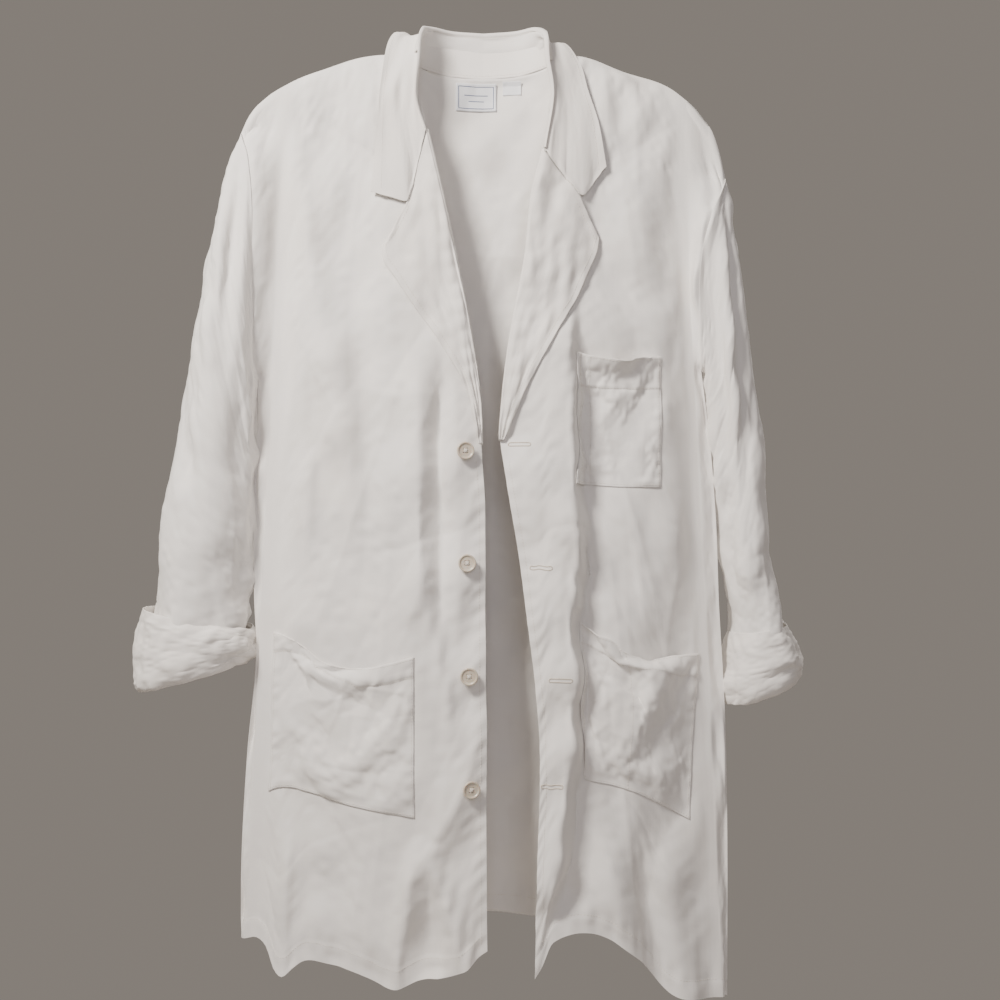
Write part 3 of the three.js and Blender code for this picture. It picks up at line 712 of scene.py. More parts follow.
LEFT_LINES = Lines(
    Side.LEFT,
    shoulder=((84, -10), (98, -11), (150, 6), (211, 31), (235, 55), (252, 86), (260, 121)),
    seam=((100, 262), (121, 260), (157, 245), (190, 235), (283, 230), (325, 234), (380, 241), (487, 250),
          (573, 253), (681, 259), (800, 262), (1000, 262)),
    underarm=325,
    edge=((-12, 84), (0, 80), (40, 71), (93, 64), (137, 53), (215, 44), (288, 30), (361, 21), (403, 18),
          (435, 23), (529, 38), (612, 49), (675, 56), (738, 59), (811, 57), (965, 54)),
    hem=((50, 962), (58, 957), (68, 930), (85, 917), (104, 914), (132, 922), (164, 946), (195, 984), (225, 994),
         (262, 998)),
    folds=(
        Fold(((250, 92), (403, 95), (529, 99), (597, 93), (654, 97), (738, 92), (811, 82), (900, 68)),
             15, 42, 5, (60, 40)),
        Fold(((300, 101), (403, 103), (529, 108), (597, 102), (654, 106), (738, 101), (811, 92), (900, 80)),
             -11, 4, 26, (60, 30)),
        Fold(((60, 150), (240, 176), (420, 196), (620, 205)), 6, 26, 20, (80, 160)),
        Fold(((140, 205), (300, 214), (460, 222)), 5, 9, 12, (60, 90)),
        Fold(((430, 150), (560, 168), (640, 176)), 5, 12, 20, (60, 60)),
        Fold(((800, 128), (880, 140), (960, 150)), 8, 16, 20, (60, 0)),
        Fold(((810, 190), (900, 205), (1000, 218)), 8, 18, 16, (60, 0)),
        Fold(((820, 164), (900, 174), (1000, 184)), -6, 14, 14, (60, 0)),
    ),
)

RIGHT_LINES = Lines(
    Side.RIGHT,
    shoulder=((80, -8), (100, -12), (127, -10), (170, 3), (208, 18), (238, 38), (252, 54), (260, 72)),
    seam=((50, 262), (72, 260), (95, 252), (120, 248), (283, 246), (330, 243), (450, 246), (573, 246),
          (620, 244), (745, 254), (864, 260), (970, 259)),
    underarm=330,
    edge=((-12, 80), (0, 76), (35, 68), (72, 59), (132, 45), (205, 29), (288, 13), (361, 3), (414, 1),
          (466, -2), (591, -3), (738, -4), (863, -4), (970, -5)),
    hem=((-10, 931), (2, 936), (12, 946), (34, 958), (64, 961), (93, 970), (128, 959), (160, 952), (191, 952),
         (203, 962), (218, 968), (234, 938), (262, 936)),
    folds=(
        Fold(((300, 68), (403, 66), (520, 64), (620, 66)), 8, 9, 16, (80, 80)),
        Fold(((290, 42), (403, 46), (520, 44), (640, 40)), -10, 9, 9, (70, 80)),
        Fold(((40, 220), (150, 200), (280, 172), (400, 150), (520, 142)), 8, 22, 22, (60, 140)),
        Fold(((120, 150), (300, 128), (480, 118), (600, 120)), -5, 16, 16, (80, 120)),
        Fold(((220, 205), (380, 190), (560, 186)), 5, 10, 12, (60, 100)),
        Fold(((560, 56), (640, 42), (740, 24)), 5, 7, 8, (40, 40)),
        Fold(((810, 68), (880, 78), (975, 92)), 10, 12, 9, (50, 0)),
        Fold(((810, 64), (880, 38), (960, 12)), 9, 9, 12, (50, 0)),
        Fold(((840, 56), (900, 54), (960, 52)), -7, 14, 14, (40, 0)),
        Fold(((800, 150), (880, 150), (970, 152)), -5, 16, 16, (60, 0)),
        Fold(((800, 205), (900, 212), (990, 216)), 10, 12, 9, (60, 0)),
    ),
)


class Chassis:
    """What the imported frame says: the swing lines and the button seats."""

    def __init__(self, frame: dict) -> None:
        """Reads the joints of the frame."""
        self.joints = {joint["name"]: joint for joint in frame["joints"]}

    def swing_line(self, side: Side) -> Callable[[Array], tuple[Array, Array]]:
        """The line a front swings on, as w and y for each drop."""
        joint = self.joints[f"{side.word}_front_swing"]
        at, axis = np.array(joint["pos_m"]) / MM, np.array(joint["axis"])

        def line(drop: Array) -> tuple[Array, Array]:
            """w and y of the line at a drop."""
            run = (-drop - at[2]) / axis[2]
            return side.value * (at[0] + axis[0] * run), at[1] + axis[1] * run

        return line

    def button_seat(self, number: int) -> Array:
        """Where a button is sewn on, in mm."""
        return np.array(self.joints[f"button_{number}_tilt"]["pos_m"]) / MM


# ---- Panels --------------------------------------------------------------------------------------


@dataclass
class Panel:
    """Works out the surface of a front or of the back from the coat's lines."""

    lines: Lines
    chassis: Chassis
    bulge_hem: float = 51.0
    bulge_neck: float = 10.0

    def patch(self, rows: int, cols: int, inner: Callable, outer: Callable) -> tuple[Array, Array]:
        """w and drop of a grid between two edges given by drop, from the shoulder line to the hem.

        Each point's drop and w are found by settling w = mix(inner, outer) and drop = mix(shoulder, hem)
        together.
        """
        t, s = np.meshgrid(np.linspace(0, 1, rows), np.linspace(0, 1, cols), indexing="ij")
        shoulder, hem = Track(self.lines.shoulder), Track(self.lines.hem)
        drop = 950.0 * t
        for _ in range(70):
            w = inner(drop) * (1 - s) + outer(drop) * s
            drop = 0.6 * drop + 0.4 * (shoulder(w) * (1 - t) + hem(w) * t)
        return w, drop

    def front_y(self, w: Array, drop: Array) -> Array:
        """Depth of the front, bowed forward from the swing line to the front edge, with its folds."""
        lines = self.lines
        fold_w, fold_y = self.chassis.swing_line(lines.side)(drop)
        down = np.clip(drop / 955.0, 0, 1)
        bulge = self.bulge_hem + (self.bulge_neck - self.bulge_hem) * np.exp(-4 * down)
        crest = 63.0 * (1 - down) + 50.0 * down
        share = np.clip((fold_w - w) / (fold_w - crest), 0, 1.35)
        inside = fold_y - bulge * np.sin(share * math.pi / 2) * (1 - np.exp(-np.maximum(fold_w - w, 0) / 16))
        reach = smooth((fold_w - w) / 30.0)
        relief = sum(fold.relief(w, drop) for fold in lines.folds) * reach
        outside = np.clip((w - fold_w) / np.maximum(Track(lines.seam)(drop) - fold_w, 1.0), 0, 1)
        seam = -lines.armhole_y(drop)
        turned = smooth(outside)
        y = np.where(w <= fold_w, inside - relief, fold_y * (1 - turned) + seam * turned)
        fallen = 1 - np.exp(-np.maximum(drop - Track(lines.shoulder)(w), 0) / lines.flat_top)
        return y * fallen

    def back_y(self, w: Array, drop: Array) -> Array:
        """Depth of the back: bowed behind the hanger, with flutes that open towards the hem."""
        lines = self.lines
        seam_w = Track(lines.seam)(np.maximum(drop, lines.shoulder_point[1]))
        share = np.clip(1 - np.square(w / seam_w), 0, 1)
        down = np.clip(drop / 955.0, 0, 1)
        bow = (7 + 25 * smooth(down * 1.6)) * np.sqrt(share)
        x = w * lines.side.value
        flute = 7 * down * share * np.cos(2 * math.pi * (x + 18 * np.sin(drop / 210)) / 118)
        edge = lines.armhole_y(drop) * smooth(1 - (seam_w - w) / 45)
        fallen = 1 - np.exp(-np.maximum(drop - Track(lines.shoulder)(w), 0) / lines.flat_top)
        neck = 20 * np.clip(1 - np.square(w / 88), 0, 1) * np.exp(-np.maximum(drop, 0) / 90)
        return (bow + flute + edge) * fallen + neck

    def placed(self, w: Array, drop: Array, y: Array) -> Array:
        """Points of the side's sheet: x is w with the side's sign, z is minus the drop."""
        return np.stack([w * self.lines.side.value, y, -drop], axis=2)


@dataclass
class Front(Panel):
    """One front: its settled cloth, and where any place on it now lies.

    The grid runs from the front edge to the swing line and on to the side seam, so that the part inside the
    swing line and the wedge outside it are made as two pieces; the wedge rides the back.
    """

    rows: int = 118
    inner_cols: int = 26
    outer_cols: int = 7
    hold: float = 0.012
    seats: tuple[Array, ...] = ()
    creases: Creases = Creases(90, 1.9, (2.5, 9.0), (30.0, 150.0))
    whole: Sheet = field(init=False)
    skin: Sheet = field(init=False)

    def __post_init__(self) -> None:
        """Draws the grid, settles it into wrinkles and lays it on the button seats."""
        swing = self.chassis.swing_line(self.lines.side)
        edge, seam = Track(self.lines.edge), Track(self.lines.seam)
        inner = self.patch(self.rows, self.inner_cols, edge, lambda drop: swing(drop)[0])
        outer = self.patch(self.rows, self.outer_cols, lambda drop: swing(drop)[0], seam)
        w, drop = (np.concatenate([a, b[:, 1:]], axis=1) for a, b in zip(inner, outer))
        points = self.placed(w, drop, self.front_y(w, drop))
        cols = points.shape[1]
        base = Sheet(points, measured_pattern(points), flip=self.lines.side is Side.LEFT)
        pins = np.zeros((self.rows, cols))
        pins[0, :] = pins[:, -1] = 1.0
        pins[:, self.inner_cols - 1] = 1.0
        pins[:, 0] = 0.6
        pins[:, 1] = 0.25
        pins[-1, :] = np.maximum(pins[-1, :], 0.25)
        settle = Settle((1.05, 1.0, 1.02), 4.0, self.hold, 26, 0.2, 11 + self.lines.side.value, 0.25, 2.5)
        settled = settle.run(base, pins)
        near = smooth(np.abs(np.arange(cols) - (self.inner_cols - 1)) / 4.0)[None, :, None]
        self.whole = Sheet(points + (settled.points - points) * near, base.pattern, flip=base.flip)
        self.skin = self.fine()
        self.lay_on_seats()

    def lay_on_seats(self) -> None:
        """Moves the cloth at each button by the gap to its seat, fading over a bell 30 mm wide."""
        for seat in self.seats:
            at = self.locate(np.array([abs(seat[0])]), np.array([-seat[2]]))
            gap = (seat[1] - self.skin.sample(*at)[0][0, 1]) + 0.3
            away = np.linalg.norm((self.skin.points - seat)[..., [0, 2]], axis=-1)
            self.skin.points[..., 1] += gap * bell(away / 30.0)

    def fine(self) -> Sheet:
        """The whole front on a finer grid, with its creases, and puckers along the front edge and the hem."""
        fine = self.whole.refined(3.0)
        v, u = fine.pattern[..., 1], fine.pattern[..., 0]
        from_hem = v[-1:, :] - v
        from_edge = u - u[:, :1]
        ripple = 0.5 * np.sin(2 * math.pi * u / 17 + 1.3 * np.sin(u / 31)) * bell((from_hem - 20) / 14)
        ripple += 0.5 * np.sin(2 * math.pi * v / 19 + 1.7 * np.sin(v / 43)) * bell((from_edge - 7) / 9)
        turned = 0.5 * (from_hem < 19)
        ends = smooth((u[:, -1:] - u) / 25) * smooth(from_edge / 12) * smooth(v / 20)
        split = 3 * (self.inner_cols - 1)
        ends = ends * smooth(np.abs(u - u[:, split : split + 1]) / 18)
        return fine.moved(ripple + turned + self.creases.relief(u, v) * ends)

    def locate(self, w: Array, drop: Array) -> tuple[Array, Array]:
        """Shares of the rows and columns at a place, from the edges that the grid was drawn between."""
        swing = self.chassis.swing_line(self.lines.side)(drop)[0]
        edge, seam = Track(self.lines.edge)(drop), Track(self.lines.seam)(drop)
        top, low = Track(self.lines.shoulder)(w), Track(self.lines.hem)(w)
        down = (drop - top) / (low - top)
        inner = (w - edge) / (swing - edge) * (self.inner_cols - 1)
        outer = self.inner_cols - 1 + (w - swing) / np.maximum(seam - swing, 1.0) * (self.outer_cols - 1)
        across = np.where(w <= swing, inner, outer) / (self.inner_cols + self.outer_cols - 2)
        return np.clip(down, 0, 1), np.clip(across, 0, 1)

    def at(self, w: Array, drop: Array, lift: Array | float = 0.0) -> Array:
        """Points on the cloth at w and drop, moved out of it by lift."""
        points, normals = self.skin.sample(*self.locate(np.asarray(w, float), np.asarray(drop, float)))
        return points + normals * np.broadcast_to(np.asarray(lift, float), points.shape[:-1])[..., None]

    def edge_w(self, drop: Array) -> Array:
        """w of the front edge at a drop."""
        return Track(self.lines.edge)(drop)


@dataclass
class Rank:
    """A run of small stitches: pills of thread lying along a line on the cloth."""

    pitch: float = 3.4
    length: float = 2.3
    width: float = 0.5
    height: float = 0.32

    def solids(self, path: Array, normal: Array) -> tuple[Array, Array]:
        """Vertices and faces of the stitches.

        Args:
            path: Points along the line, in mm.
            normal: The cloth's normal at each point.

        Returns:
            Vertices, and quads that number them: each stitch is four rings of four, drawn in at both ends.
        """
        run = np.concatenate([[0.0], np.cumsum(np.linalg.norm(np.diff(path, axis=0), axis=1))])
        centres = np.arange(self.pitch / 2, run[-1], self.pitch)
        if not len(centres):
            return np.zeros((0, 3)), np.zeros((0, 4), int)
        lay = lambda values, at: np.stack([np.interp(at, run, column) for column in values.T], axis=-1)
        reach = np.array([-0.5, -0.32, 0.32, 0.5]) * self.length
        size = np.array([0.45, 1.0, 1.0, 0.45])
        along = lay(path, centres[:, None] + reach)
        up = lay(normal, centres)
        ahead = along[:, -1] - along[:, 0]
        ahead /= np.maximum(np.linalg.norm(ahead, axis=1, keepdims=True), 1e-9)
        side = np.cross(up, ahead)
        side /= np.maximum(np.linalg.norm(side, axis=1, keepdims=True), 1e-9)
        corner = np.array([[1, 0], [0, 1], [-1, 0], [0, -1]])
        spread = (
            corner[:, 0, None] * side[:, None, None, :] * self.width / 2
            + corner[:, 1, None] * up[:, None, None, :] * self.height
        )
        verts = along[:, :, None, :] + spread * size[None, :, None, None]
        number = np.arange(len(centres))[:, None, None] * 16
        ring = np.arange(3)[:, None] * 4
        k = np.arange(4)
        after = (k + 1) % 4
        quad = np.stack([ring + k, ring + after, ring + 4 + after, ring + 4 + k], axis=-1).reshape(-1, 4)
        caps = np.array([[3, 2, 1, 0], [12, 13, 14, 15]])
        faces = (np.concatenate([quad, caps])[None] + number).reshape(-1, 4)
        return verts.reshape(-1, 3), faces[:, ::-1]

    def sew(self, name: str, lines: Sequence[tuple[Array, Array]]) -> bpy.types.Object:
        """One object holding the stitches of several lines."""
        made = [self.solids(*line) for line in lines]
        starts = np.cumsum([0] + [len(v) for v, _ in made[:-1]])
        faces = np.concatenate([f + s for (_, f), s in zip(made, starts)])
        return mesh_object(name, np.concatenate([v for v, _ in made]), faces)


class Tailor:
    """Dresses each piece of cloth: its finish, its body, the solids it stands for and its flat size."""

    def __init__(self, finishes: Finishes) -> None:
        """Keeps the finishes, and the sheets made so far with their flat sizes."""
        self.finishes = finishes
        self.flat: dict[str, tuple[float, float]] = {}

    def move_with(self, piece: bpy.types.Object, body: str | tuple[str, Array, Array]) -> None:
        """Rides a body; for a bend, given as a body with a start and an end in mm, only bakes the piece's
        transform.
        """
        if isinstance(body, str):
            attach(piece, body)
            return
        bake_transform(piece)

    def cloth(
        self,
        name: str,
        sheet: Sheet,
        body: str | tuple[str, Array, Array],
        material: bpy.types.Material,
        slot: str,
        nodes: Sequence[str] = (),
        rests_on: Sequence[str] = (),
        held: str = "hung",
        thickness: float = CLOTH_THICK,
    ) -> bpy.types.Object:
        """Makes one piece of cloth.

        Args:
            name: The piece's name.
            sheet: Its surface.
            body: What it moves with.
            material: Its finish.
            slot: The record's slot for that finish; not used.
            nodes: The frame's solids that it stands for.
            rests_on: What it hangs from or lies on; not used.
            held: How it is held; not used.
            thickness: Its thickness in mm.

        Returns:
            The finished object.
        """
        piece = cloth_object(name, sheet, thickness)
        piece.data.materials.append(material)
        width, length, area = sheet.flat_size()
        width, length = max(width, 0.01), max(length, 0.01)
        if nodes:
            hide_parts(*nodes)
        self.move_with(piece, body)
        self.flat[name] = (width, length)
        LOG.info("%s: cloth %.0f x %.0f mm", name, width * 1000, length * 1000)
        return piece

    def thread(
        self,
        name: str,
        lines: Sequence[tuple[Array, Array]],
        body: str | tuple[str, Array, Array],
        rank: Rank | None = None,
    ) -> bpy.types.Object:
        """Sews stitches along lines of points and normals."""
        piece = (rank or Rank()).sew(name, lines)
        piece.data.materials.append(self.finishes.thread)
        self.move_with(piece, body)
        LOG.info("%s: %d lines of stitches", name, len(lines))
        return piece


def swing_body(side: Side) -> tuple[str, Array, Array]:
    """The bend between the back and a front: still at the shoulders, with the front from the break down."""
    return f"{side.word}_front", np.array([0.0, 0.0, -30.0]), np.array([0.0, 0.0, -390.0])


def still(path: Array) -> Array:
    """The upward direction of cloth that faces -Y, for each point of a path."""
    return np.tile([0.0, -1.0, 0.0], (len(path), 1))


@dataclass
class FrontPieces:
    """Dresses one front: panel, side wedge, facing and interlining, edge and hem stitching, and buttonholes."""

    front: Front
    facing_width: float = 72.0
    facing_top: float = 30.0
    edge_inset: float = 6.5  # from the front edge to its stitching
    hem_depth: float = 19.0  # from the hem to its stitching
    side_foot: float = 935.0  # drop at which the side wedge's hem is measured

    def dress(self, tailor: Tailor) -> None:
        """Builds the pieces."""
        front, side = self.front, self.front.lines.side
        word, fin = side.word, tailor.finishes
        body = swing_body(side)
        fine, split = front.skin, 3 * (front.inner_cols - 1)
        tailor.cloth(
            f"{word}_front_cloth", fine.part(slice(None), slice(0, split + 1)), body, fin.cloth, "cloth",
            [f"{word}_front_panel"], [f"{word}_side_cloth"],
        )
        tailor.cloth(
            f"{word}_side_cloth", fine.part(slice(None), slice(split, None)), "coat_back", fin.cloth, "cloth",
            [f"{word}_front_side"], ["back_cloth"],
        )
        for name, slot, material, behind, inset, thick in (
            ("facing", "facing", fin.facing, 1.35, 0.5, CLOTH_THICK),
            ("interlining", "interlining", fin.lining, 0.68, 3.0, LINING_THICK),
        ):
            drop = np.linspace(self.facing_top, 950, 200)[:, None]
            w = front.edge_w(drop) + inset + np.linspace(0, self.facing_width - 2 * inset, 14)[None, :]
            low = Track(front.lines.hem)(w) - 2.0
            drop = np.minimum(drop * np.ones_like(w) * (low / 950.0) ** (drop / 950.0), low)
            points = front.at(w, drop, -behind)
            ply = Sheet(points, measured_pattern(points), flip=front.whole.flip)
            tailor.cloth(
                f"{word}_front_{name}_cloth", ply, body, material, slot, [f"{word}_front_{name}"],
                [f"{word}_front_cloth"], thickness=thick,
            )
        self.stitch(tailor, body)

    def stitch(self, tailor: Tailor, body: tuple[str, Array, Array]) -> None:
        """Sews the edge from the break down, and the hem."""
        front, side = self.front, self.front.lines.side
        drop = np.linspace(425, 925, 320)
        lines = [self.line(front.edge_w(drop) + self.edge_inset, drop)]
        swing = front.chassis.swing_line(side)
        w = np.linspace(float(front.edge_w(np.array(930.0))) + 8, float(swing(np.array(930.0))[0]) - 1, 200)
        lines.append(self.line(w, Track(front.lines.hem)(w) - self.hem_depth))
        tailor.thread(f"{side.word}_front_stitching", lines, body)
        low = np.array(self.side_foot)
        w = np.linspace(float(swing(low)[0]) + 1, float(Track(front.lines.seam)(low)) - 1, 12)
        hem = self.line(w, Track(front.lines.hem)(w) - self.hem_depth)
        tailor.thread(f"{side.word}_side_stitching", [hem], "coat_back")

    def line(self, w: Array, drop: Array) -> tuple[Array, Array]:
        """A line on the cloth's face, with its normals."""
        points, normals = self.front.skin.sample(*self.front.locate(w, drop))
        return points + normals * FACE_LIFT, normals


@dataclass
class Back(Panel):
    """The back: one piece of cloth without a centre seam, with its neckline, hem and labels."""

    other: Lines = RIGHT_LINES
    rows: int = 116
    half_cols: int = 32
    neck: tuple[tuple[float, float], ...] = ((0, 8), (40, 6), (68, -1))
    hem_middle: tuple[tuple[float, float], ...] = ((0, 917), (60, 920), (130, 930))

    def half(self, lines: Lines) -> tuple[Array, Array, Array]:
        """w, drop and depth of half the back."""
        own = Lines(
            lines.side, (*self.neck, *lines.shoulder), lines.seam, lines.underarm, lines.edge,
            (*self.hem_middle, *[k for k in lines.hem if k[0] > 185]), (), lines.armhole_depth, lines.flat_top,
        )
        panel = Panel(own, self.chassis)
        w, drop = panel.patch(self.rows, self.half_cols, lambda d: np.zeros_like(d), Track(own.seam))
        return w, drop, panel.back_y(w, drop)

    def sheet(self) -> Sheet:
        """The whole back, settled."""
        left, right = self.half(self.lines), self.half(self.other)
        right = np.stack([-right[0], right[2], -right[1]], 2)
        left = np.stack([left[0], left[2], -left[1]], 2)
        points = np.concatenate([right[:, :0:-1], left], axis=1)
        base = Sheet(points, measured_pattern(points), flip=False)
        pins = np.zeros(points.shape[:2])
        pins[0, :] = pins[:, 0] = pins[:, -1] = 1.0
        return Settle((1.045, 1.0, 1.02), 4.0, 0.015, 26, 0.2, 5, 0.25, 2.5).run(base, pins)

    def dress(self, tailor: Tailor) -> Sheet:
        """Builds the back and its labels, and returns its surface."""
        fin = tailor.finishes
        whole = self.sheet()
        fine = whole.refined(2.4)
        u, v = fine.pattern[..., 0], fine.pattern[..., 1]
        ripple = 0.5 * np.sin(2 * math.pi * u / 18 + 1.5 * np.sin(u / 37)) * bell((v[-1:, :] - v - 20) / 15)
        inset = smooth((u - u[:, :1]) / 20) * smooth((u[:, -1:] - u) / 20) * smooth(v / 60)
        fine = fine.moved(ripple + Creases(130, 1.9, (2.5, 9.0), (30.0, 150.0), seed=9).relief(u, v) * inset)
        tailor.cloth(
            "back_cloth", fine, "coat_back", fin.cloth, "cloth", ["back_panel"], ["collar_stand_cloth"]
        )
        self.labels(tailor, whole)
        path, normal = whole.sample(np.full(300, 1 - 19 / 915), np.linspace(0.01, 0.99, 300))
        inner = path - normal * FACE_LIFT
        outer = path + normal * FACE_LIFT
        tailor.thread("back_hem_stitching", [(outer, normal), (inner, -normal)], "coat_back")
        return whole

    def labels(self, tailor: Tailor, whole: Sheet) -> None:
        """Sews two plain labels inside the neck: each a satin patch with a woven border."""
        fin = tailor.finishes
        for name, node, centre, width, height, top, border in (
            ("neck_label_cloth", "neck_label", -8.0, 44.0, 30.0, 13.0, True),
            ("size_label_cloth", "size_label", 31.0, 20.0, 15.0, 11.0, False),
        ):
            x = centre + np.linspace(-width / 2, width / 2, 30)[None, :]
            z = -(top + np.linspace(0, height, 20)[:, None])
            x, z = np.broadcast_arrays(x, z)
            y = self.depth_at(whole, x, z) - 1.1
            curl = 0.5 * (np.abs(x - centre) / (width / 2)) ** 4
            points = np.stack([x, y - curl, z], axis=2)
            patch = Sheet(points, measured_pattern(points), flip=True)
            tailor.cloth(name, patch, "coat_back", fin.label, "label", [node], ["back_cloth"], thickness=0.35)
            if border:
                self.border(tailor, points)

    def border(self, tailor: Tailor, points: Array) -> None:
        """Weaves a plain border and a bar onto the neck label."""
        lines = []
        sides = ((2, 2, 2, 27), (17, 2, 17, 27), (2, 2, 17, 2), (2, 27, 17, 27))
        bars = ((8, 6, 8, 23), (12, 9, 12, 20))
        for r0, c0, r1, c1 in (*sides, *bars):
            steps = max(abs(r1 - r0), abs(c1 - c0)) + 1
            r = np.linspace(r0, r1, steps).round().astype(int)
            c = np.linspace(c0, c1, steps).round().astype(int)
            path = points[r, c] - np.array([0, 0.22, 0])
            lines.append((path, still(path)))
        piece = Rank(1.0, 1.1, 0.9, 0.12).sew("neck_label_border", lines)
        piece.data.materials.append(tailor.finishes.label_edge)
        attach(piece, "coat_back")
        LOG.info("neck_label_border: %d lines", len(lines))

    def depth_at(self, whole: Sheet, x: Array, z: Array) -> Array:
        """Depth of the back at x and z near the middle, from the nearest columns and rows of its grid."""
        cols = whole.points.shape[1]
        middle = self.half_cols - 1
        column_x = whole.points[6, :, 0]
        across = np.interp(x, column_x, np.arange(cols)) / (cols - 1)
        row_z = whole.points[:, middle, 2]
        down = np.interp(-z, -row_z, np.arange(self.rows)) / (self.rows - 1)
        return whole.sample(down, across)[0][..., 1]


@dataclass
class Sleeve:
    """One sleeve, and the cuff turned up round its end.

    outer and inner are the sleeve's two outlines as w and drop, depth its half thickness from front to
    back, and set how far its middle line stands behind the coat's middle plane, all at even steps down the
    sleeve.
    """

    lines: Lines
    outer: Knots
    inner: Knots
    depth: Sequence[float]
    back: Sequence[float]
    cuff_from: float
    flare: float
    folds: Sequence[tuple[float, float, float, float, float, float]] = ()
    cols: int = 44
    rows: int = 84
    seed: int = 2

    def ring(self, t: Array, angle: Array, grow: Array | float = 0.0) -> Array:
        """Points round the sleeve.

        Args:
            t: Share of the way down.
            angle: Angle from the outer line round the front.
            grow: Extra half width.

        Returns:
            Points in mm: a flattened ring between the two outlines, that starts on the armhole seam.
        """
        top = self.lines.shoulder_point
        seam = Track(self.lines.seam)
        under = self.lines.underarm
        steps = lambda values: Track([(k / (len(values) - 1), v) for k, v in enumerate(values)])
        curve = lambda points: [steps([p[k] for p in points]) for k in (0, 1)]
        outer = curve([top, *self.outer])
        inner = curve([(float(seam(np.array(under))), under), *self.inner])
        a = np.stack([outer[0](t), outer[1](t)], axis=-1)
        b = np.stack([inner[0](t), inner[1](t)], axis=-1)
        along = a - b
        half = np.linalg.norm(along, axis=-1, keepdims=True) / 2
        along = along / (2 * half)
        bow = lambda v: np.sign(v) * np.abs(v) ** 0.9
        c, s = bow(np.cos(angle))[..., None], bow(np.sin(angle))[..., None]
        grow = np.broadcast_to(np.asarray(grow, float), t.shape)[..., None]
        mid = (a + b) / 2 + along * (half + grow) * c
        y = steps(self.back)(t)[..., None] - (steps(self.depth)(t)[..., None] + grow) * s
        seam_drop = (top[1] + under) / 2 - (under - top[1]) / 2 * np.cos(angle)
        start = np.stack([seam(seam_drop), -self.lines.armhole_depth * np.sin(angle), seam_drop], axis=-1)
        free = np.stack([mid[..., 0], y[..., 0], mid[..., 1]], axis=-1)
        zero = self._free_start(angle, top, (float(seam(np.array(under))), under))
        eased = free + (start - zero) * (1 - smooth(t / 0.22))[..., None]
        return eased * np.array([self.lines.side.value, 1.0, -1.0])

    def _free_start(self, angle: Array, top: tuple[float, float], under: tuple[float, float]) -> Array:
        """The ring that the outlines alone would start with."""
        bow = lambda v: np.sign(v) * np.abs(v) ** 0.9
        a, b = np.array(top), np.array(under)
        place = (a + b) / 2 + (a - b) / 2 * bow(np.cos(angle))[..., None]
        y = self.back[0] - self.depth[0] * bow(np.sin(angle))
        return np.stack([place[..., 0], y, place[..., 1]], axis=-1)

    def grid(
        self, first: float, last: float, rows: int, grow: Callable | None = None
    ) -> tuple[Array, Array, Array]:
        """Points with their t and angle."""
        v = np.linspace(0, 1, rows)[:, None]
        t = (first + (last - first) * v) * np.ones((1, self.cols))
        angle = 2 * math.pi * np.arange(self.cols)[None, :] / self.cols * np.ones((rows, 1))
        return self.ring(t, angle, 0.0 if grow is None else grow(v * np.ones_like(t), angle)), t, angle

    def pattern(self, points: Array) -> Array:
        """Pattern places of a tube: length round each ring and down its first column."""
        return measured_pattern(points, wrap=True)

    def sleeve(self) -> Sheet:
        """The settled sleeve."""
        relief = lambda v, angle: sum(
            h * bell((v - t0) / tw) * bell(np.angle(np.exp(1j * (angle - a0 - skew * (v - t0)))) / aw)
            for t0, tw, a0, aw, h, skew in self.folds
        ) + 0.0 * v
        points, _, _ = self.grid(0.0, 0.985, self.rows, relief)
        base = Sheet(points, self.pattern(points), True, flip=self.lines.side is Side.LEFT)
        pins = np.zeros(points.shape[:2])
        pins[0] = 1.0
        pins[1] = 0.4
        pins[-1] = 0.5
        return Settle((1.07, 1.07, 1.05), 3.0, 0.02, 26, 0.3, self.seed, 0.3, 2.5).run(base, pins)

    def cuff(self) -> Sheet:
        """The settled cuff: the sleeve's end turned up outside it, with its fold at the bottom."""
        rows = 26
        turn = lambda v: np.where(v < 0.12, 1.2 + 3.4 * np.sin(v / 0.12 * math.pi / 2), 4.6)
        lobes = lambda v, angle: 1.6 * np.sin(3 * angle + 5 * v) * v
        swell = lambda v, angle: turn(v) + self.flare * np.sin(math.pi * v) + lobes(v, angle)
        v = np.linspace(0, 1, rows)
        points, _, _ = self.grid(1.0, self.cuff_from, rows, swell)
        base = Sheet(points, self.pattern(points), True, flip=self.lines.side is Side.RIGHT)
        pins = np.zeros(points.shape[:2])
        pins[0] = 0.6
        return Settle((1.07, 1.07, 1.06), 1.5, 0.3, 16, 0.05, self.seed + 7, 0.3, 1.2).run(base, pins)

    def bend(self, length: float, slant: float) -> tuple[str, Array, Array]:
        """Where the sleeve bends away from the body.

        Args:
            length: How much cloth bends beside the underarm, in mm.
            slant: Angle of the bend's direction below level, in radians.

        Returns:
            The sleeve's body, and the start and end of the bend. It starts at the underarm and slants down,
            so the whole armhole stays with the coat.
        """
        sign, under = self.lines.side.value, self.lines.underarm
        start = np.array([sign * float(Track(self.lines.seam)(np.array(under))), 0.0, -under])
        way = np.array([sign * math.cos(slant), 0.0, -math.sin(slant)])
        return f"{self.lines.side.word}_sleeve", start, start + way * length

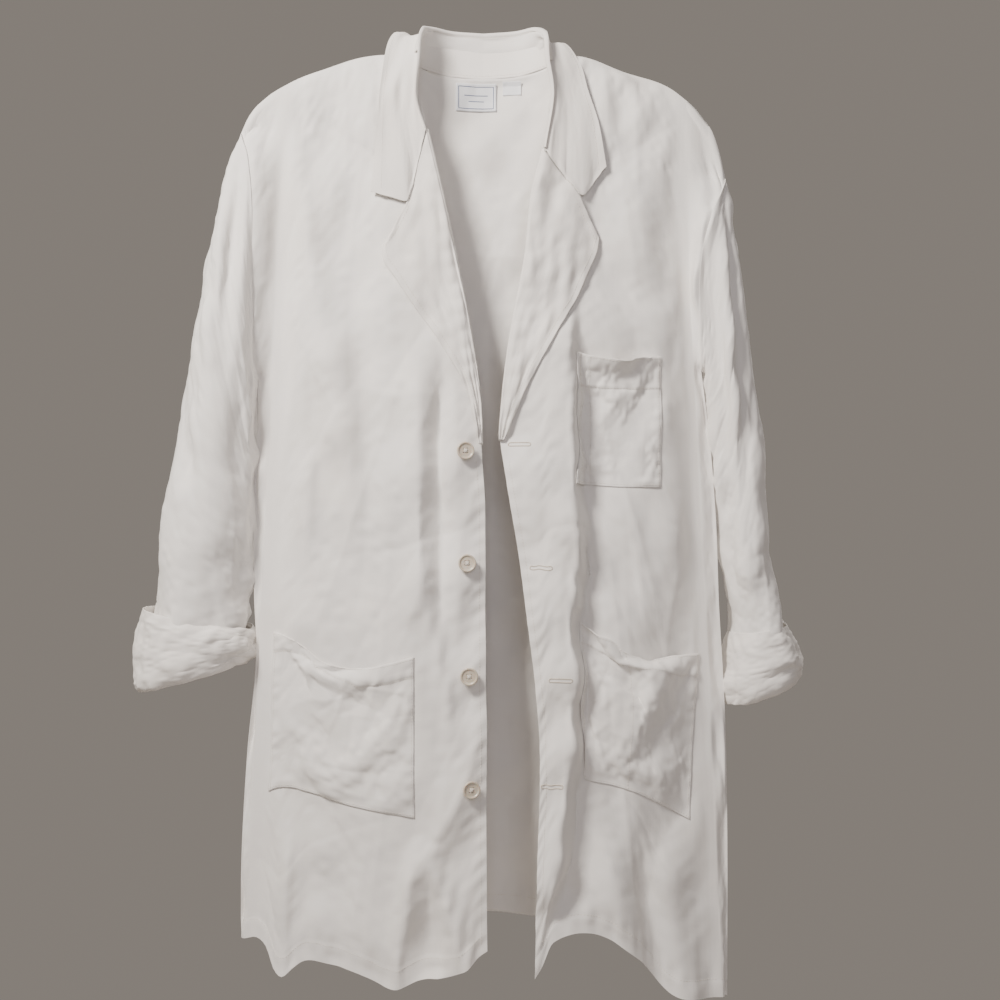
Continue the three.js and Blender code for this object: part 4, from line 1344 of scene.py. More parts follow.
    def dress(self, tailor: Tailor) -> None:
        """Builds the sleeve and its cuff."""
        fin, side = tailor.finishes, self.lines.side
        word = side.word
        body = self.bend(42.0, math.radians(14.0))
        sleeve = self.sleeve().refined(2.6)
        v, u = sleeve.pattern[..., 1], sleeve.pattern[..., 0]
        wide = Creases(90, 2.6, (3.0, 10.0), (25.0, 100.0), 0.0, 0.9, self.seed)
        around = smooth(u / 25) * smooth((u[:, -1:] - u) / 25)
        sleeve = sleeve.moved(wide.relief(u, v) * around * smooth(v / 20))
        tailor.cloth(
            f"{word}_sleeve_cloth", sleeve, body, fin.cloth, "cloth", [f"{word}_sleeve"], ["back_cloth"]
        )
        cuff = self.cuff().refined(3.0)
        v, u = cuff.pattern[..., 1], cuff.pattern[..., 0]
        edge = v[-1:, :] - v
        around = smooth(u / 20) * smooth((u[:, -1:] - u) / 20)
        crumple = Creases(60, 3.4, (2.5, 8.0), (15.0, 60.0), 1.2, 0.8, self.seed + 1).relief(u, v) * around
        pucker = 0.5 * np.sin(2 * math.pi * u / 16 + np.sin(u / 29)) * bell((edge - 14) / 10)
        cuff = cuff.moved(pucker + crumple)
        tailor.cloth(
            f"{word}_cuff_cloth", cuff, body, fin.facing, "cloth", [f"{word}_cuff"], [f"{word}_sleeve_cloth"]
        )
        share = float(1 - 17 / max(v[-1].mean(), 20))
        across = np.linspace(0, 1, 260)
        path, normal = cuff.sample(np.full(260, share), across)
        tailor.thread(f"{word}_cuff_stitching", [(path + normal * STITCH_LIFT, normal)], body)


@dataclass
class Pocket:
    """A patch pocket: a hemmed mouth that sags open, sides and bottom sewn to the front."""

    front: Front
    name: str
    node: str
    mouth: Knots  # the two or more points of the mouth, as w and drop
    foot: Knots
    gape: float
    band: float = 20.0
    division: float | None = None
    rows: int = 26
    cols: int = 26
    seed: int = 1
    loose: float = 1.0

    def place(self, u: Array, v: Array) -> tuple[Array, Array]:
        """w and drop across and down the pocket: between the mouth's line and the foot's."""
        top, low = spaced(self.mouth, 60), spaced(self.foot, 60)
        k = np.linspace(0, 1, 60)
        get = lambda line, axis: np.interp(u, k, line[:, axis])
        return get(top, 0) * (1 - v) + get(low, 0) * v, get(top, 1) * (1 - v) + get(low, 1) * v

    def sheet(self) -> Sheet:
        """The settled pocket."""
        v, u = np.meshgrid(np.linspace(0, 1, self.rows), np.linspace(0, 1, self.cols), indexing="ij")
        w, drop = self.place(u, v)
        puff = self.gape * np.sin(math.pi * np.clip(u, 0, 1)) ** 0.8 * (1 - v) ** 1.3
        belly = 4.0 * self.loose * np.sin(math.pi * u) * np.sin(math.pi * v) ** 0.7
        points = self.front.at(w, drop, 0.95 + puff + belly)
        flip = (points[0, -1, 0] - points[0, 0, 0]) > 0
        base = Sheet(points, measured_pattern(points), flip=bool(flip))
        pins = np.zeros(points.shape[:2])
        pins[:, 0] = pins[:, -1] = pins[-1, :] = 1.0
        grown = 1 + 0.05 * self.loose
        settled = Settle((grown, 1.0, grown), 2.0, 0.015, 26, 0.3, self.seed, 0.3, 2.0).run(base, pins)
        return self.above(settled, v, u)

    def above(self, sheet: Sheet, v: Array, u: Array) -> Sheet:
        """Keeps the pocket in front of the cloth behind it, by at least 0.9 mm along y."""
        x, z = sheet.points[..., 0], sheet.points[..., 2]
        under = self.front.at(np.abs(x), -z, 0.0)[..., 1]
        room = 0.95 + 1.2 * np.minimum(np.minimum(u, 1 - u), 1 - v)
        sheet.points[..., 1] = np.minimum(sheet.points[..., 1], under - room)
        return sheet

    def dress(self, tailor: Tailor, body: tuple[str, Array, Array]) -> None:
        """Builds the pocket and sews it on."""
        whole = self.sheet()
        fine = whole.refined(3.5)
        u, v = fine.pattern[..., 0], fine.pattern[..., 1]
        sides = np.minimum(u - u[:, :1], u[:, -1:] - u)
        ripple = 0.4 * np.sin(2 * math.pi * v / 15 + np.sin(v / 9)) * bell((sides - 4) / 7)
        ripple += 0.35 * np.sin(2 * math.pi * u / 15 + np.sin(u / 11)) * bell((v - self.band) / 8)
        band = 1.1 * (v < self.band)
        inside = smooth((sides - 4) / 12) * smooth((v[-1:, :] - v - 4) / 12)
        crumple = Creases(
            int(40 * self.loose) + 6, 1.9 * self.loose + 0.4, (2.0, 6.0), (15.0, 60.0), 0.3, 0.9, self.seed
        )
        fine = fine.moved((ripple + band) * smooth(sides / 3) + crumple.relief(u, v) * inside)
        tailor.cloth(
            self.name, fine, body, tailor.finishes.cloth, "cloth", [self.node],
            [f"{self.front.lines.side.word}_front_cloth"],
        )
        span = np.linspace(0.0, 1.0, 160)
        height, width = float(v[-1].mean()), float(np.ptp(u[0]))
        runs = [
            (np.full(160, self.band / height), span),
            (span, np.full(160, 3.0 / width)),
            (span, np.full(160, 1 - 3.0 / width)),
            (np.full(160, 1 - 3.0 / height), span),
            (np.full(160, 2.5 / height), span),
        ]
        if self.division is not None:
            runs.append((span, np.full(160, self.division)))
        lines = []
        for down, across in runs:
            path, normal = fine.sample(down, across)
            lines.append((path + normal * FACE_LIFT, normal))
        tailor.thread(f"{self.name}_stitching", lines, body)


@dataclass(frozen=True)
class NeckShape:
    """One side's collar and lapel outlines, as w and drop."""

    gorge: tuple[float, float]
    notch: tuple[float, float]
    collar_tip: tuple[float, float]
    lapel_tip: tuple[float, float]
    collar_outer: tuple[tuple[float, float], ...]
    lapel_outer: tuple[tuple[float, float], ...]
    lapel_end: tuple[float, float]
    fold: tuple[tuple[float, float, float], ...] = (
        (0, 34, 47), (34, 30, 48), (56, 12, 46), (64, -12, 30), (66, -24, 0),
    )


LEFT_NECK = NeckShape(
    (62, 96), (103, 146), (132, 113), (123, 189),
    ((82, 4, 26), (103, -8, 2), (113, 0, 0)),
    ((120, 205), (112, 224), (97, 258), (80, 287), (62, 318), (46, 348), (34, 375)),
    (22, 404),
)
RIGHT_NECK = NeckShape(
    (58, 74), (80, 152), (117, 139), (105, 196),
    ((84, 4, 34), (101, -6, 26), (118, 0, 0)),
    ((104, 214), (92, 233), (72, 262), (52, 290), (34, 318), (20, 342), (10, 374)),
    (4, 408),
)


@dataclass
class Lapel:
    """The top of the front and its facing, turned back over the roll line."""

    front: Front
    neck: NeckShape
    rows: int = 60
    cols: int = 30
    radius: float = 2.6
    seed: int = 4

    def outline(self) -> tuple[Array, Array, Array]:
        """The roll line, the outer edge and the top edge, as w and drop."""
        drop = np.linspace(self.neck.gorge[1], self.neck.lapel_end[1], self.rows)
        roll = np.stack([self.front.edge_w(drop) - 1.2, drop], axis=1)
        outer = spaced([self.neck.lapel_tip, *self.neck.lapel_outer, self.neck.lapel_end], self.rows)
        share = np.linspace(0, 1, 400)[:, None]
        gorge, notch, tip = (np.array(p)[None] for p in (self.neck.gorge, self.neck.notch, self.neck.lapel_tip))
        seam = gorge * (1 - share) + notch * share
        rise = notch * (1 - share) + tip * share
        top = np.concatenate([seam, rise[1:]])
        run = np.concatenate([[0.0], np.cumsum(np.linalg.norm(np.diff(top, axis=0), axis=1))])
        at = np.linspace(0, run[-1], self.cols)
        return roll, outer, np.stack([np.interp(at, run, top[:, k]) for k in (0, 1)], axis=1)

    def sheet(self) -> Sheet:
        """The lapel's face: a strip turned round the roll line and then laid out over the front."""
        roll, outer, top = self.outline()
        u = np.linspace(0, 1, self.cols)[None, :, None]
        v = np.linspace(0, 1, self.rows)[:, None, None]
        flat = roll[:, None] * (1 - u) + outer[:, None] * u
        flat += (top[None] - flat[:1]) * (1 - v) ** 3
        w, drop = flat[..., 0], flat[..., 1]
        away = np.maximum(w - (self.front.edge_w(drop) - 1.2), 0.0)
        lift = 2.0 + 3.0 * bell((away - 9) / 9) + 2.2 * smooth(away / 70) * smooth(1.2 - v[..., 0])
        face = self.front.at(np.maximum(w, self.front.edge_w(drop)), drop, lift)
        face[..., 0] = w * self.front.lines.side.value
        turn = np.linspace(-1.1, 1.0, 7)[None, :, None]
        r = self.radius * np.clip(1.25 - v, 0.35, 1.0)
        at = self.front.at(self.front.edge_w(roll[:, 1]), roll[:, 1])[:, None]
        ring_w = (at[..., :1] * self.front.lines.side.value) - 1.2 + r * (1 - np.cos(turn * math.pi / 2))
        ring_y = at[..., 1:2] - r * np.sin(turn * math.pi / 2) - 0.3
        sign = self.front.lines.side.value
        ring = np.concatenate([ring_w * sign, ring_y, at[..., 2:] * np.ones_like(ring_w)], axis=2)
        keep = face[:, 1:]
        near = np.clip(1 - (keep[..., 0] - ring[:, -1:, 0]) * self.front.lines.side.value / 14, 0, 1)
        keep[..., 1] = keep[..., 1] * (1 - near) + np.minimum(keep[..., 1], ring[:, -1:, 1]) * near
        points = np.concatenate([ring, keep], axis=1)
        base = Sheet(points, measured_pattern(points), flip=self.front.lines.side is Side.LEFT)
        pins = np.full(points.shape[:2], 0.05)
        pins[:, :8] = 1.0
        pins[0] = pins[-1] = 1.0
        pins[:, -1] = 0.4
        return Settle((1.01, 1.0, 1.008), 8.0, 0.15, 14, 0.1, self.seed, 0.05, 1.0).run(base, pins)

    def dress(self, tailor: Tailor) -> None:
        """Builds the lapel and its edge stitching."""
        word = self.front.lines.side.word
        body = swing_body(self.front.lines.side)
        fine = self.sheet().refined(2.0)
        tailor.cloth(
            f"{word}_lapel_cloth", fine, body, tailor.finishes.facing, "facing", [f"{word}_lapel"],
            [f"{word}_front_cloth"], held="folded",
        )
        inset = 1 - 6.0 / np.maximum(np.ptp(fine.pattern[..., 0], axis=1), 12.0)
        rows = np.linspace(0.02, 0.97, 200)
        across = np.interp(rows, np.linspace(0, 1, len(inset)), inset)
        path, normal = fine.sample(rows, across)
        top, top_normal = fine.sample(np.full(60, 0.035), np.linspace(0.62, float(across[0]), 60))
        tailor.thread(
            f"{word}_lapel_stitching",
            [(path + normal * STITCH_LIFT, normal), (top + top_normal * STITCH_LIFT, top_normal)], body,
        )


@dataclass
class Collar:
    """The collar: a stand behind the neck, and a fall of three plies rolled over it down to the two notches."""

    fronts: dict[Side, Front]
    necks: dict[Side, NeckShape]
    half_rows: int = 46
    cols: int = 22
    radius: float = 3.4

    def lines(self, side: Side) -> tuple[Array, Array]:
        """The fold line and the outer edge of half the collar, from the centre back to its front end."""
        neck, front = self.necks[side], self.fronts[side]
        sign = side.value
        on = lambda w, drop, lift: front.at(np.array([w]), np.array([drop]), lift)[0] * np.array([sign, 1, 1])
        gorge = on(*neck.gorge, 4.5)
        fold = spaced([*neck.fold, (*on(64, 40, 7.0)[:1], on(64, 40, 7.0)[1], -40.0), gorge], self.half_rows)
        side_w = neck.collar_outer[1][0]
        outer = spaced(
            [(0, 47, -8), (50, 44, -4), *neck.collar_outer[:2], on(side_w + 8, 28, 6.5),
             on((side_w + neck.collar_tip[0]) / 2 + 5, 66, 6.0), on(*neck.collar_tip, 7.0)],
            self.half_rows,
        )
        return fold, outer

    def end_row(self, side: Side) -> Array:
        """The collar's front end: along the gorge seam to the notch, then out to the tip."""
        neck, front = self.necks[side], self.fronts[side]
        legs = np.array([neck.gorge, neck.notch, neck.collar_tip], dtype=float)
        run = np.concatenate([[0.0], np.cumsum(np.linalg.norm(np.diff(legs, axis=0), axis=1))])
        at = np.linspace(0, run[-1], self.cols)
        w, drop = (np.interp(at, run, legs[:, k]) for k in (0, 1))
        lift = np.interp(at, run, [4.5, 4.5, 7.0])
        return front.at(w, drop, lift) * np.array([side.value, 1, 1])

    def half(self, side: Side) -> Array:
        """Points of half the fall in side coordinates: rolled over the fold line, then down to the outer edge.

        Between the fold and the outer edge the fall bows outwards by a sine; towards the front end it is
        drawn onto the gorge seam and the notch.
        """
        fold, outer = self.lines(side)
        u = np.linspace(0, 1, self.cols)[None, :, None]
        v = np.linspace(0, 1, self.half_rows)[:, None, None]
        body = fold[:, None] * (1 - u) + outer[:, None] * u
        out = outer - fold
        out /= np.linalg.norm(out, axis=1, keepdims=True)
        ahead = np.gradient(fold, axis=0)
        ahead /= np.linalg.norm(ahead, axis=1, keepdims=True)
        face = np.cross(out, ahead)
        face /= np.linalg.norm(face, axis=1, keepdims=True)
        bow = 5.0 * (1 - 0.6 * v) * np.sin(math.pi * u) ** 0.8
        body = body + face[:, None] * bow
        body += (self.end_row(side)[None] - body[-1:]) * smooth((v - 0.55) / 0.45) ** 2
        turn = np.linspace(-0.9, 0.9, 6)[None, :, None]
        r = self.radius * (1 - 0.45 * smooth((v - 0.6) / 0.4))
        ring = fold[:, None] + out[:, None] * r * (1 - np.cos(turn * math.pi / 2))
        ring = ring + face[:, None] * r * (np.sin(turn * math.pi / 2) - 0.2)
        return np.concatenate([ring, body[:, 2:]], axis=1)

    def dress(self, tailor: Tailor) -> None:
        """Builds the three plies, the stand and the stitching."""
        fin = tailor.finishes
        halves = {side: self.half(side) * np.array([side.value, 1, 1]) for side in Side}
        whole = np.concatenate([halves[Side.RIGHT][::-1], halves[Side.LEFT][1:]], axis=0)
        base = Sheet(whole, measured_pattern(whole), flip=True)
        pins = np.full(whole.shape[:2], 0.05)
        pins[:, :7] = 1.0
        pins[0] = pins[-1] = 1.0
        pins[:, -1] = 0.3
        settled = Settle((1.008, 1.008, 1.008), 8.0, 0.15, 14, 0.1, 8, 0.05, 1.0).run(base, pins)
        middle = self.half_rows - 1
        plies = (("upper_collar", "cloth", fin.facing, 0.0, 0, CLOTH_THICK),
                 ("collar_interlining", "interlining", fin.lining, -0.62, 6, LINING_THICK),
                 ("under_collar", "cloth", fin.cloth, -1.25, 6, CLOTH_THICK))
        smooth_fall = settled.refined(2.0)
        for name, slot, material, offset, first, thick in plies:
            moved = smooth_fall.moved(offset)
            for side, rows in ((Side.RIGHT, slice(0, 2 * middle + 1)), (Side.LEFT, slice(2 * middle, None))):
                part = moved.part(rows, slice(2 * first, None))
                nodes = [f"{name}_{side.word}"] + ([f"{name}_back"] if side is Side.LEFT else [])
                tailor.cloth(
                    f"{name}_{side.word}_cloth", part, swing_body(side), material, slot, nodes,
                    ["collar_stand_cloth"], held="folded", thickness=thick,
                )
        for side, rows in ((Side.RIGHT, slice(0, middle + 1)), (Side.LEFT, slice(middle, None))):
            part = Sheet(settled.points[rows], settled.pattern[rows], flip=True)
            share = 1 - 5.0 / float(np.ptp(part.pattern[..., 0], axis=1).mean())
            span = np.linspace(0.02, 0.98, 220)
            path, normal = part.sample(span, np.full(220, share))
            line = (path + normal * STITCH_LIFT, normal)
            tailor.thread(f"{side.word}_collar_stitching", [line], swing_body(side))
        self.stand(tailor, settled)

    def stand(self, tailor: Tailor, fall: Sheet) -> None:
        """Builds the stand: from just inside the fold down to the neck seam, round the back of the neck."""
        reach = 26
        middle = self.half_rows - 1
        rows = slice(middle - reach, middle + reach + 1)
        top = fall.points[rows, 0]
        k = np.linspace(-1, 1, 2 * reach + 1)
        seam_x = 84 * np.sin(k * math.pi / 2 * 0.98)
        share = np.clip(1 - np.square(seam_x / 88), 0, 1)
        seam_z = np.interp(np.abs(seam_x), [0, 40, 68, 84], [-8, -6, 1, 10])
        seam = np.stack([seam_x, 20 * share - 0.6, seam_z], axis=1)
        v = np.linspace(0, 1, 12)[None, :, None]
        points = top[:, None] * (1 - v) + seam[:, None] * v
        points[..., 1] += 2.5 * np.sin(math.pi * v[..., 0])
        sheet = Sheet(points, measured_pattern(points), flip=False)
        tailor.cloth(
            "collar_stand_cloth", sheet.refined(2.0), "coat_back", tailor.finishes.facing, "cloth",
            ["collar_stand"], [], held="folded",
        )
        path, normal = sheet.sample(np.linspace(0.02, 0.98, 160), np.full(160, 0.93))
        lines = [(path + normal * STITCH_LIFT, normal), (path - normal * STITCH_LIFT, -normal)]
        tailor.thread("neck_seam_stitching", lines, "coat_back")


@dataclass
class Button:
    """A four-hole button with a rolled rim and a dished middle, and the crossed thread that holds it."""

    number: int
    seat: Array
    out: Array
    radius: float = 9.3
    thick: float = 3.1
    shank: float = 3.4
    rim: float = 2.3
    dish: float = 1.1
    eye_ring: float = 2.3
    eye: float = 0.95
    thread: float = 0.42

    def frame(self) -> Array:
        """Rows: across, out of the cloth, and up, as unit vectors."""
        out = self.out / np.linalg.norm(self.out)
        across = np.cross(out, [0.0, 0.0, 1.0])
        across /= np.linalg.norm(across)
        return np.stack([-across, out, np.cross(-across, out)])

    def placed(self, local: Array) -> Array:
        """Local points (across, out, up) put on the seat."""
        return local @ self.frame() + self.seat

    def disc(self) -> bpy.types.Object:
        """The disc: its profile turned round, with the four eyes as dimples drawn on a polar grid."""
        back, face = self.shank, self.shank + self.thick
        r0 = self.radius
        profile = spaced(
            [(0.001, back), (r0 - 2.2, back), (r0 - 0.5, back + 0.7), (r0, back + 1.6), (r0 - 0.3, face - 0.3),
             (r0 - 1.1, face), (r0 - 2.0, face - 0.35), (r0 - self.rim - 0.6, face - self.dish),
             (3.0, face - self.dish - 0.15), (0.001, face - self.dish - 0.15)],
            60,
        )
        angle = np.linspace(0, 2 * math.pi, 96, endpoint=False)
        r, y = profile[:, :1], profile[:, 1:] * np.ones((1, 96))
        x, z = r * np.cos(angle), r * np.sin(angle)
        top = (profile[:, 1:] > face - self.thick * 0.5) & (profile[:, :1] < r0 - self.rim)
        for turn in (0.25, 0.75, 1.25, 1.75):
            eye = self.eye_ring * np.array([math.cos(turn * math.pi), math.sin(turn * math.pi)])
            away = np.hypot(x - eye[0], z - eye[1])
            y = y - top * 1.9 * (1 - smooth((away - self.eye * 0.75) / 0.45))
        local = np.stack([x, y, z], axis=2)
        faces = grid_faces(60, 96, True)
        made = mesh_object(f"button_{self.number}_disc", self.placed(local.reshape(-1, 3)), faces)
        self.close(made)
        return made

    def close(self, made: bpy.types.Object) -> None:
        """Merges the profile's two ends into poles and turns every face outwards."""
        work = bmesh.new()
        work.from_mesh(made.data)
        bmesh.ops.remove_doubles(work, verts=work.verts, dist=0.00004)
        bmesh.ops.recalc_face_normals(work, faces=work.faces)
        work.to_mesh(made.data)
        work.free()
        made.data.polygons.foreach_set("use_smooth", np.ones(len(made.data.polygons), dtype=bool))

    def cord(self, path: Array, radius: float) -> tuple[Array, Array]:
        """A round thread along a path in local places: rings of eight, closed with pinched ends."""
        p = spaced(path, 26)
        ahead = np.gradient(p, axis=0)
        ahead /= np.linalg.norm(ahead, axis=1, keepdims=True)
        side = np.cross(ahead, [0.3, 0.2, 0.93])
        side /= np.linalg.norm(side, axis=1, keepdims=True)
        up = np.cross(side, ahead)
        a = np.linspace(0, 2 * math.pi, 8, endpoint=False)
        swell = radius * np.concatenate([[0.02], np.ones(24), [0.02]])[:, None, None]
        cos, sin = np.cos(a)[None, :, None], np.sin(a)[None, :, None]
        ring = p[:, None] + swell * (cos * side[:, None] + sin * up[:, None])
        return ring.reshape(-1, 3), grid_faces(26, 8, True)

    def threads(self) -> bpy.types.Object:
        """The shank wound under the disc, and the cross of thread over its eyes."""
        e = self.eye_ring / math.sqrt(2)
        high = self.shank + self.thick - self.dish + 0.35
        low = self.shank - 0.2
        parts = [self.cord([(0, -0.5, 0), (0, low / 2, 0), (0, low, 0)], 1.9)]
        for sx in (1, -1):
            for shift in (-0.42, 0.42):
                dx, dz = shift * 0.7, -shift * 0.7 * sx
                ends = [(-e + dx, low + 0.6, -e * sx + dz), (-e + dx, high - 0.5, -e * sx + dz),
                        (dx, high + 0.15, dz), (e + dx, high - 0.5, e * sx + dz),
                        (e + dx, low + 0.6, e * sx + dz)]
                parts.append(self.cord(ends, self.thread))
        starts = np.cumsum([0] + [len(v) for v, _ in parts[:-1]])
        verts = np.concatenate([v for v, _ in parts])
        faces = np.concatenate([f + s for (_, f), s in zip(parts, starts)])
        made = mesh_object(f"button_{self.number}_thread_cross", self.placed(verts), faces)
        self.close(made)
        return made

    def dress(self, tailor: Tailor) -> None:
        """Builds the disc and its thread."""
        body = f"button_{self.number}"
        disc, thread = self.disc(), self.threads()
        disc.data.materials.append(tailor.finishes.button)
        thread.data.materials.append(tailor.finishes.thread)
        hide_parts(body)
        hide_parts(f"button_thread_{self.number}")
        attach(disc, body)
        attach(thread, body)
        LOG.info("%s: disc %.1f mm across, and its thread", body, 2 * self.radius)


@dataclass
class Buttonhole:
    """A worked buttonhole: satin stitch laid round a slit, rounded at both ends."""

    number: int
    front: Front
    w: float
    drop: float
    length: float = 23.0
    width: float = 3.6
    bite: float = 1.25

    def dress(self, tailor: Tailor) -> None:
        """Builds the ring of stitches: short threads across a stadium round the slit."""
        half = self.length / 2 - self.width / 2
        straight = 2 * half
        arc = math.pi * self.width / 2
        s = np.arange(0, 2 * (straight + arc), 0.75)
        x, z, nx, nz = self.around(s, half, arc, straight)
        inner = np.stack([x - nx * self.bite / 2, z - nz * self.bite / 2], axis=1)
        outer = np.stack([x + nx * self.bite / 2, z + nz * self.bite / 2], axis=1)
        lines = []
        for a, b in zip(inner, outer):
            k = np.linspace(0, 1, 3)[:, None]
            place = a * (1 - k) + b * k
            at = self.front.locate(self.w + place[:, 0], self.drop - place[:, 1])
            points, normals = self.front.skin.sample(*at)
            lines.append((points + normals * 0.4, normals))
        body = swing_body(self.front.lines.side)
        piece = Rank(1.25, 1.5, 0.72, 0.42).sew(f"buttonhole_{self.number}_stitching", lines)
        piece.data.materials.append(tailor.finishes.shade_thread)
        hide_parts(f"buttonhole_{self.number}")
        tailor.move_with(piece, body)
        LOG.info("buttonhole_%d: %d stitches", self.number, len(lines))

    def around(self, s: Array, half: float, arc: float, straight: float) -> tuple[Array, Array, Array, Array]:
        """Places and outward directions round a stadium at lengths s: two straights joined by half circles."""
        r = self.width / 2
        s = s % (2 * (straight + arc))
        leg = np.digitize(s, [straight, straight + arc, 2 * straight + arc])
        turn_a = (s - straight) / r
        turn_b = (s - 2 * straight - arc) / r
        legs = [leg == 0, leg == 1, leg == 2]
        back = half - (s - straight - arc)
        x = np.select(legs, [s - half, half + r * np.sin(turn_a), back], -half - r * np.sin(turn_b))
        z = np.select(legs, [np.full_like(s, r), r * np.cos(turn_a), np.full_like(s, -r)], -r * np.cos(turn_b))
        nx = np.select([leg == 1, leg == 3], [np.sin(turn_a), -np.sin(turn_b)], 0.0)
        nz = np.select(legs, [np.ones_like(s), np.cos(turn_a), -np.ones_like(s)], -np.cos(turn_b))
        return x, z, nx, nz


# ---- The room ------------------------------------------------------------------------------------


@dataclass(frozen=True)
class Studio:
    """A plain pale floor, soft studio lights and the camera, in metres."""

    floor: float = -1.6
    floor_radius: float = 1.1
    eye: tuple[float, float, float] = (0.018, -1.43, -0.466)
    angle: float = 41.2
    wall: str = "#9a928a"
    glow: float = 0.74

    def light(
        self, name: str, place: Sequence[float], at: Sequence[float], size: float, power: float, colour: str
    ) -> None:
        """A square soft light at a place, turned to face a point."""
        data = bpy.data.lights.new(name, "AREA")
        data.shape, data.size, data.energy = "SQUARE", size, power
        data.color = linear(colour)[:3]
        lamp = bpy.data.objects.new(name, data)
        lamp.location = place
        lamp.rotation_euler = (Vector(at) - Vector(place)).to_track_quat("-Z", "Y").to_euler()
        bpy.context.scene.collection.objects.link(lamp)

    def build(self) -> None:
        """Makes the floor, the world, the lights and the camera."""
        angle = np.linspace(0, 2 * math.pi, 64, endpoint=False)
        radii = np.array([1.0, 0.5, 0.001])[:, None] * self.floor_radius * 1000
        level = np.full((3, 64), self.floor * 1000)
        verts = np.stack([radii * np.cos(angle), radii * np.sin(angle), level], axis=2)
        floor = mesh_object("floor", verts.reshape(-1, 3), grid_faces(3, 64, True))
        matt = blank_material("pale_plaster")
        shader = add_node(matt, "ShaderNodeBsdfPrincipled", {"Base Color": linear("#b9b2a9"), "Roughness": 0.9})
        add_node(matt, "ShaderNodeOutputMaterial", links={"Surface": shader.outputs["BSDF"]})
        floor.data.materials.append(matt)
        world = bpy.data.worlds.new("soft_room")
        world.use_nodes = True
        world.node_tree.nodes["Background"].inputs[0].default_value = linear(self.wall)
        world.node_tree.nodes["Background"].inputs[1].default_value = self.glow
        bpy.context.scene.world = world
        self.light("key", (-0.9, -1.05, 0.75), (0.0, 0.0, -0.3), 0.45, 56.0, "#fff8f0")
        self.light("back", (0.9, 1.6, 0.5), (0.0, 0.0, -0.4), 1.2, 26.0, "#fff8f0")
        self.light("fill", (0.25, -2.0, 0.1), (0.0, 0.0, -0.5), 1.0, 9.0, "#f6f3ff")
        camera = bpy.data.cameras.new("view")
        camera.angle = math.radians(self.angle)
        holder = bpy.data.objects.new("view", camera)
        holder.location = self.eye
        holder.rotation_euler = (math.pi / 2, 0.0, 0.0)
        bpy.context.scene.collection.objects.link(holder)
        bpy.context.scene.camera = holder


LEFT_SLEEVE = Sleeve(
    LEFT_LINES,
    outer=[(272, 184), (284, 268), (295, 383), (302, 488), (314, 566), (330, 618), (340, 660)],
    inner=[(247, 345), (252, 395), (262, 460), (270, 515), (274, 570), (272, 632), (264, 686)],
    depth=(20, 31, 36, 42, 47, 50, 52, 50), back=(0, 3, 7, 12, 16, 18, 20, 20), cuff_from=0.80, flare=5.0,
    folds=[(0.30, 0.16, 1.5, 0.5, 6.0, 1.2), (0.55, 0.12, 1.2, 0.4, 6.0, 2.5), (0.68, 0.1, 1.9, 0.4, 6.0, -2.0),
           (0.78, 0.08, 1.0, 0.5, 5.0, 2.0), (0.45, 0.14, 2.3, 0.4, -5.0, 0.8)],
    seed=21,
)
RIGHT_SLEEVE = Sleeve(
    RIGHT_LINES,
    outer=[(281, 139), (300, 208), (316, 297), (332, 393), (348, 488), (362, 580), (368, 672)],
    inner=[(244, 345), (245, 395), (246, 450), (248, 505), (252, 555), (256, 602), (259, 642)],
    depth=(20, 32, 36, 39, 41, 42, 42, 42), back=(0, 1, 2, 3, 4, 5, 6, 6), cuff_from=0.86, flare=5.0,
    folds=[(0.25, 0.2, 1.1, 0.4, 5.0, 1.0), (0.5, 0.14, 1.4, 0.45, 6.0, -2.0),
           (0.62, 0.12, 1.9, 0.4, 5.0, -3.0), (0.75, 0.1, 1.3, 0.5, 5.0, 3.0), (0.4, 0.2, 2.1, 0.35, -5.0, 1.0)],
    seed=33,
)


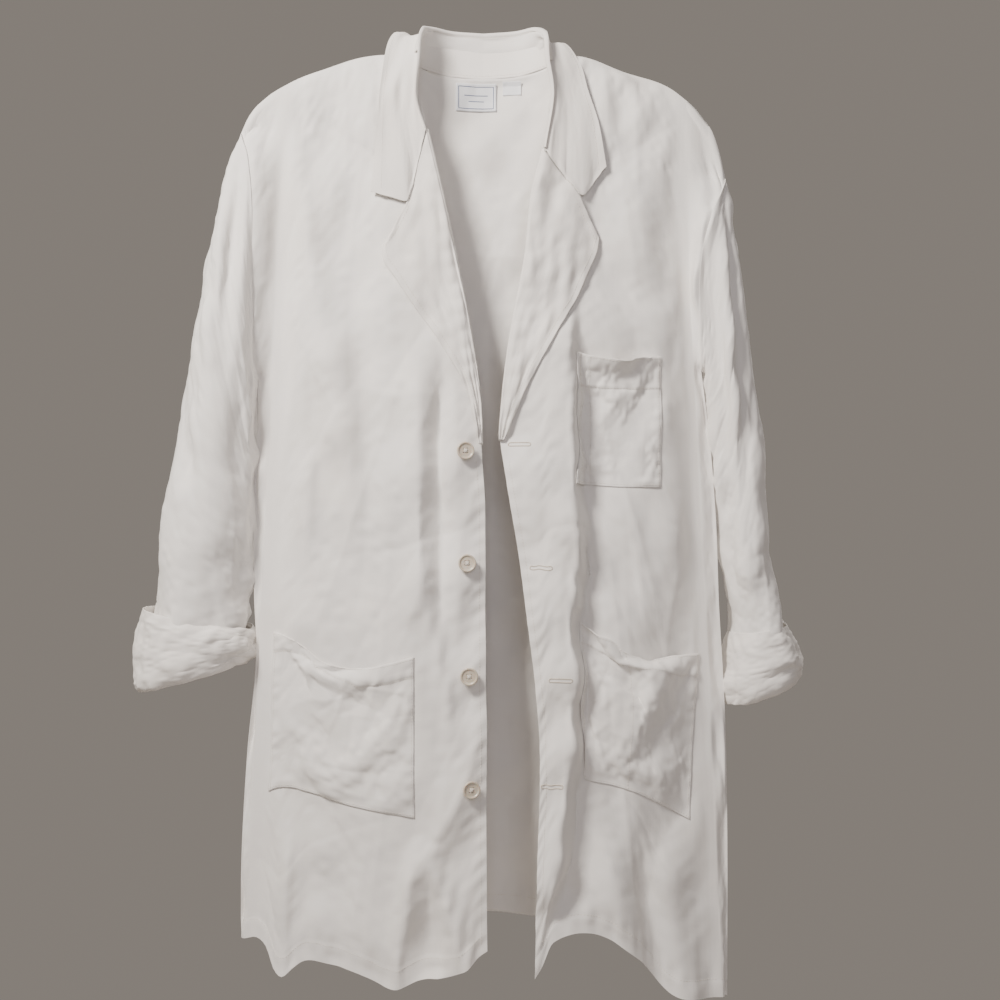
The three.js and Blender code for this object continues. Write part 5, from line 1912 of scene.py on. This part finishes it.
def main() -> None:
    """Builds the coat piece by piece."""
    logging.basicConfig(level=logging.INFO, format="%(message)s")
    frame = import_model()
    chassis = Chassis(frame)
    tailor = Tailor(Finishes())
    seats = tuple(chassis.button_seat(number) for number in (1, 2, 3, 4))
    fronts = {Side.LEFT: Front(LEFT_LINES, chassis), Side.RIGHT: Front(RIGHT_LINES, chassis, seats=seats)}
    Back(LEFT_LINES, chassis).dress(tailor)
    for front in fronts.values():
        FrontPieces(front).dress(tailor)
    for sleeve in (LEFT_SLEEVE, RIGHT_SLEEVE):
        sleeve.dress(tailor)
    necks = {Side.LEFT: LEFT_NECK, Side.RIGHT: RIGHT_NECK}
    for side, front in fronts.items():
        Lapel(front, necks[side], seed=4 + side.value).dress(tailor)
    Collar(fronts, necks).dress(tailor)
    pockets = (
        Pocket(fronts[Side.RIGHT], "right_pocket_cloth", "right_lower_pocket",
               ((71, 628), (97, 634), (123, 635), (160, 623), (191, 602), (223, 607)),
               ((71, 795), (140, 784), (201, 771), (228, 776)), 12.0, seed=51),
        Pocket(fronts[Side.LEFT], "left_pocket_cloth", "left_lower_pocket",
               ((102, 593), (130, 604), (165, 619), (198, 628), (230, 630)),
               ((103, 756), (150, 768), (190, 788), (220, 806)), 10.0, 20.0, 0.39, seed=62),
        Pocket(fronts[Side.LEFT], "chest_pocket_cloth", "chest_pocket",
               ((97, 311), (140, 313), (188, 315)), ((99, 448), (140, 452), (186, 453)),
               2.5, 34.0, 0.16, seed=73, loose=0.35),
    )
    for pocket in pockets:
        pocket.dress(tailor, swing_body(pocket.front.lines.side))
    right = fronts[Side.RIGHT]
    for number, seat in enumerate(seats, 1):
        normal = right.skin.sample(*right.locate(np.array([abs(seat[0])]), np.array([-seat[2]])))[1][0]
        Button(number, seat, normal * np.array([0.6, 1.0, 0.4])).dress(tailor)
    for number, (w, drop) in enumerate(((38, 408), (60, 536), (80, 651), (72, 760)), 1):
        Buttonhole(number, fronts[Side.LEFT], w, drop).dress(tailor)
    Studio().build()
    LOG.info("flat sizes: %s", {k: [round(x, 3) for x in v] for k, v in tailor.flat.items()})


if __name__ == "__main__":
    main()
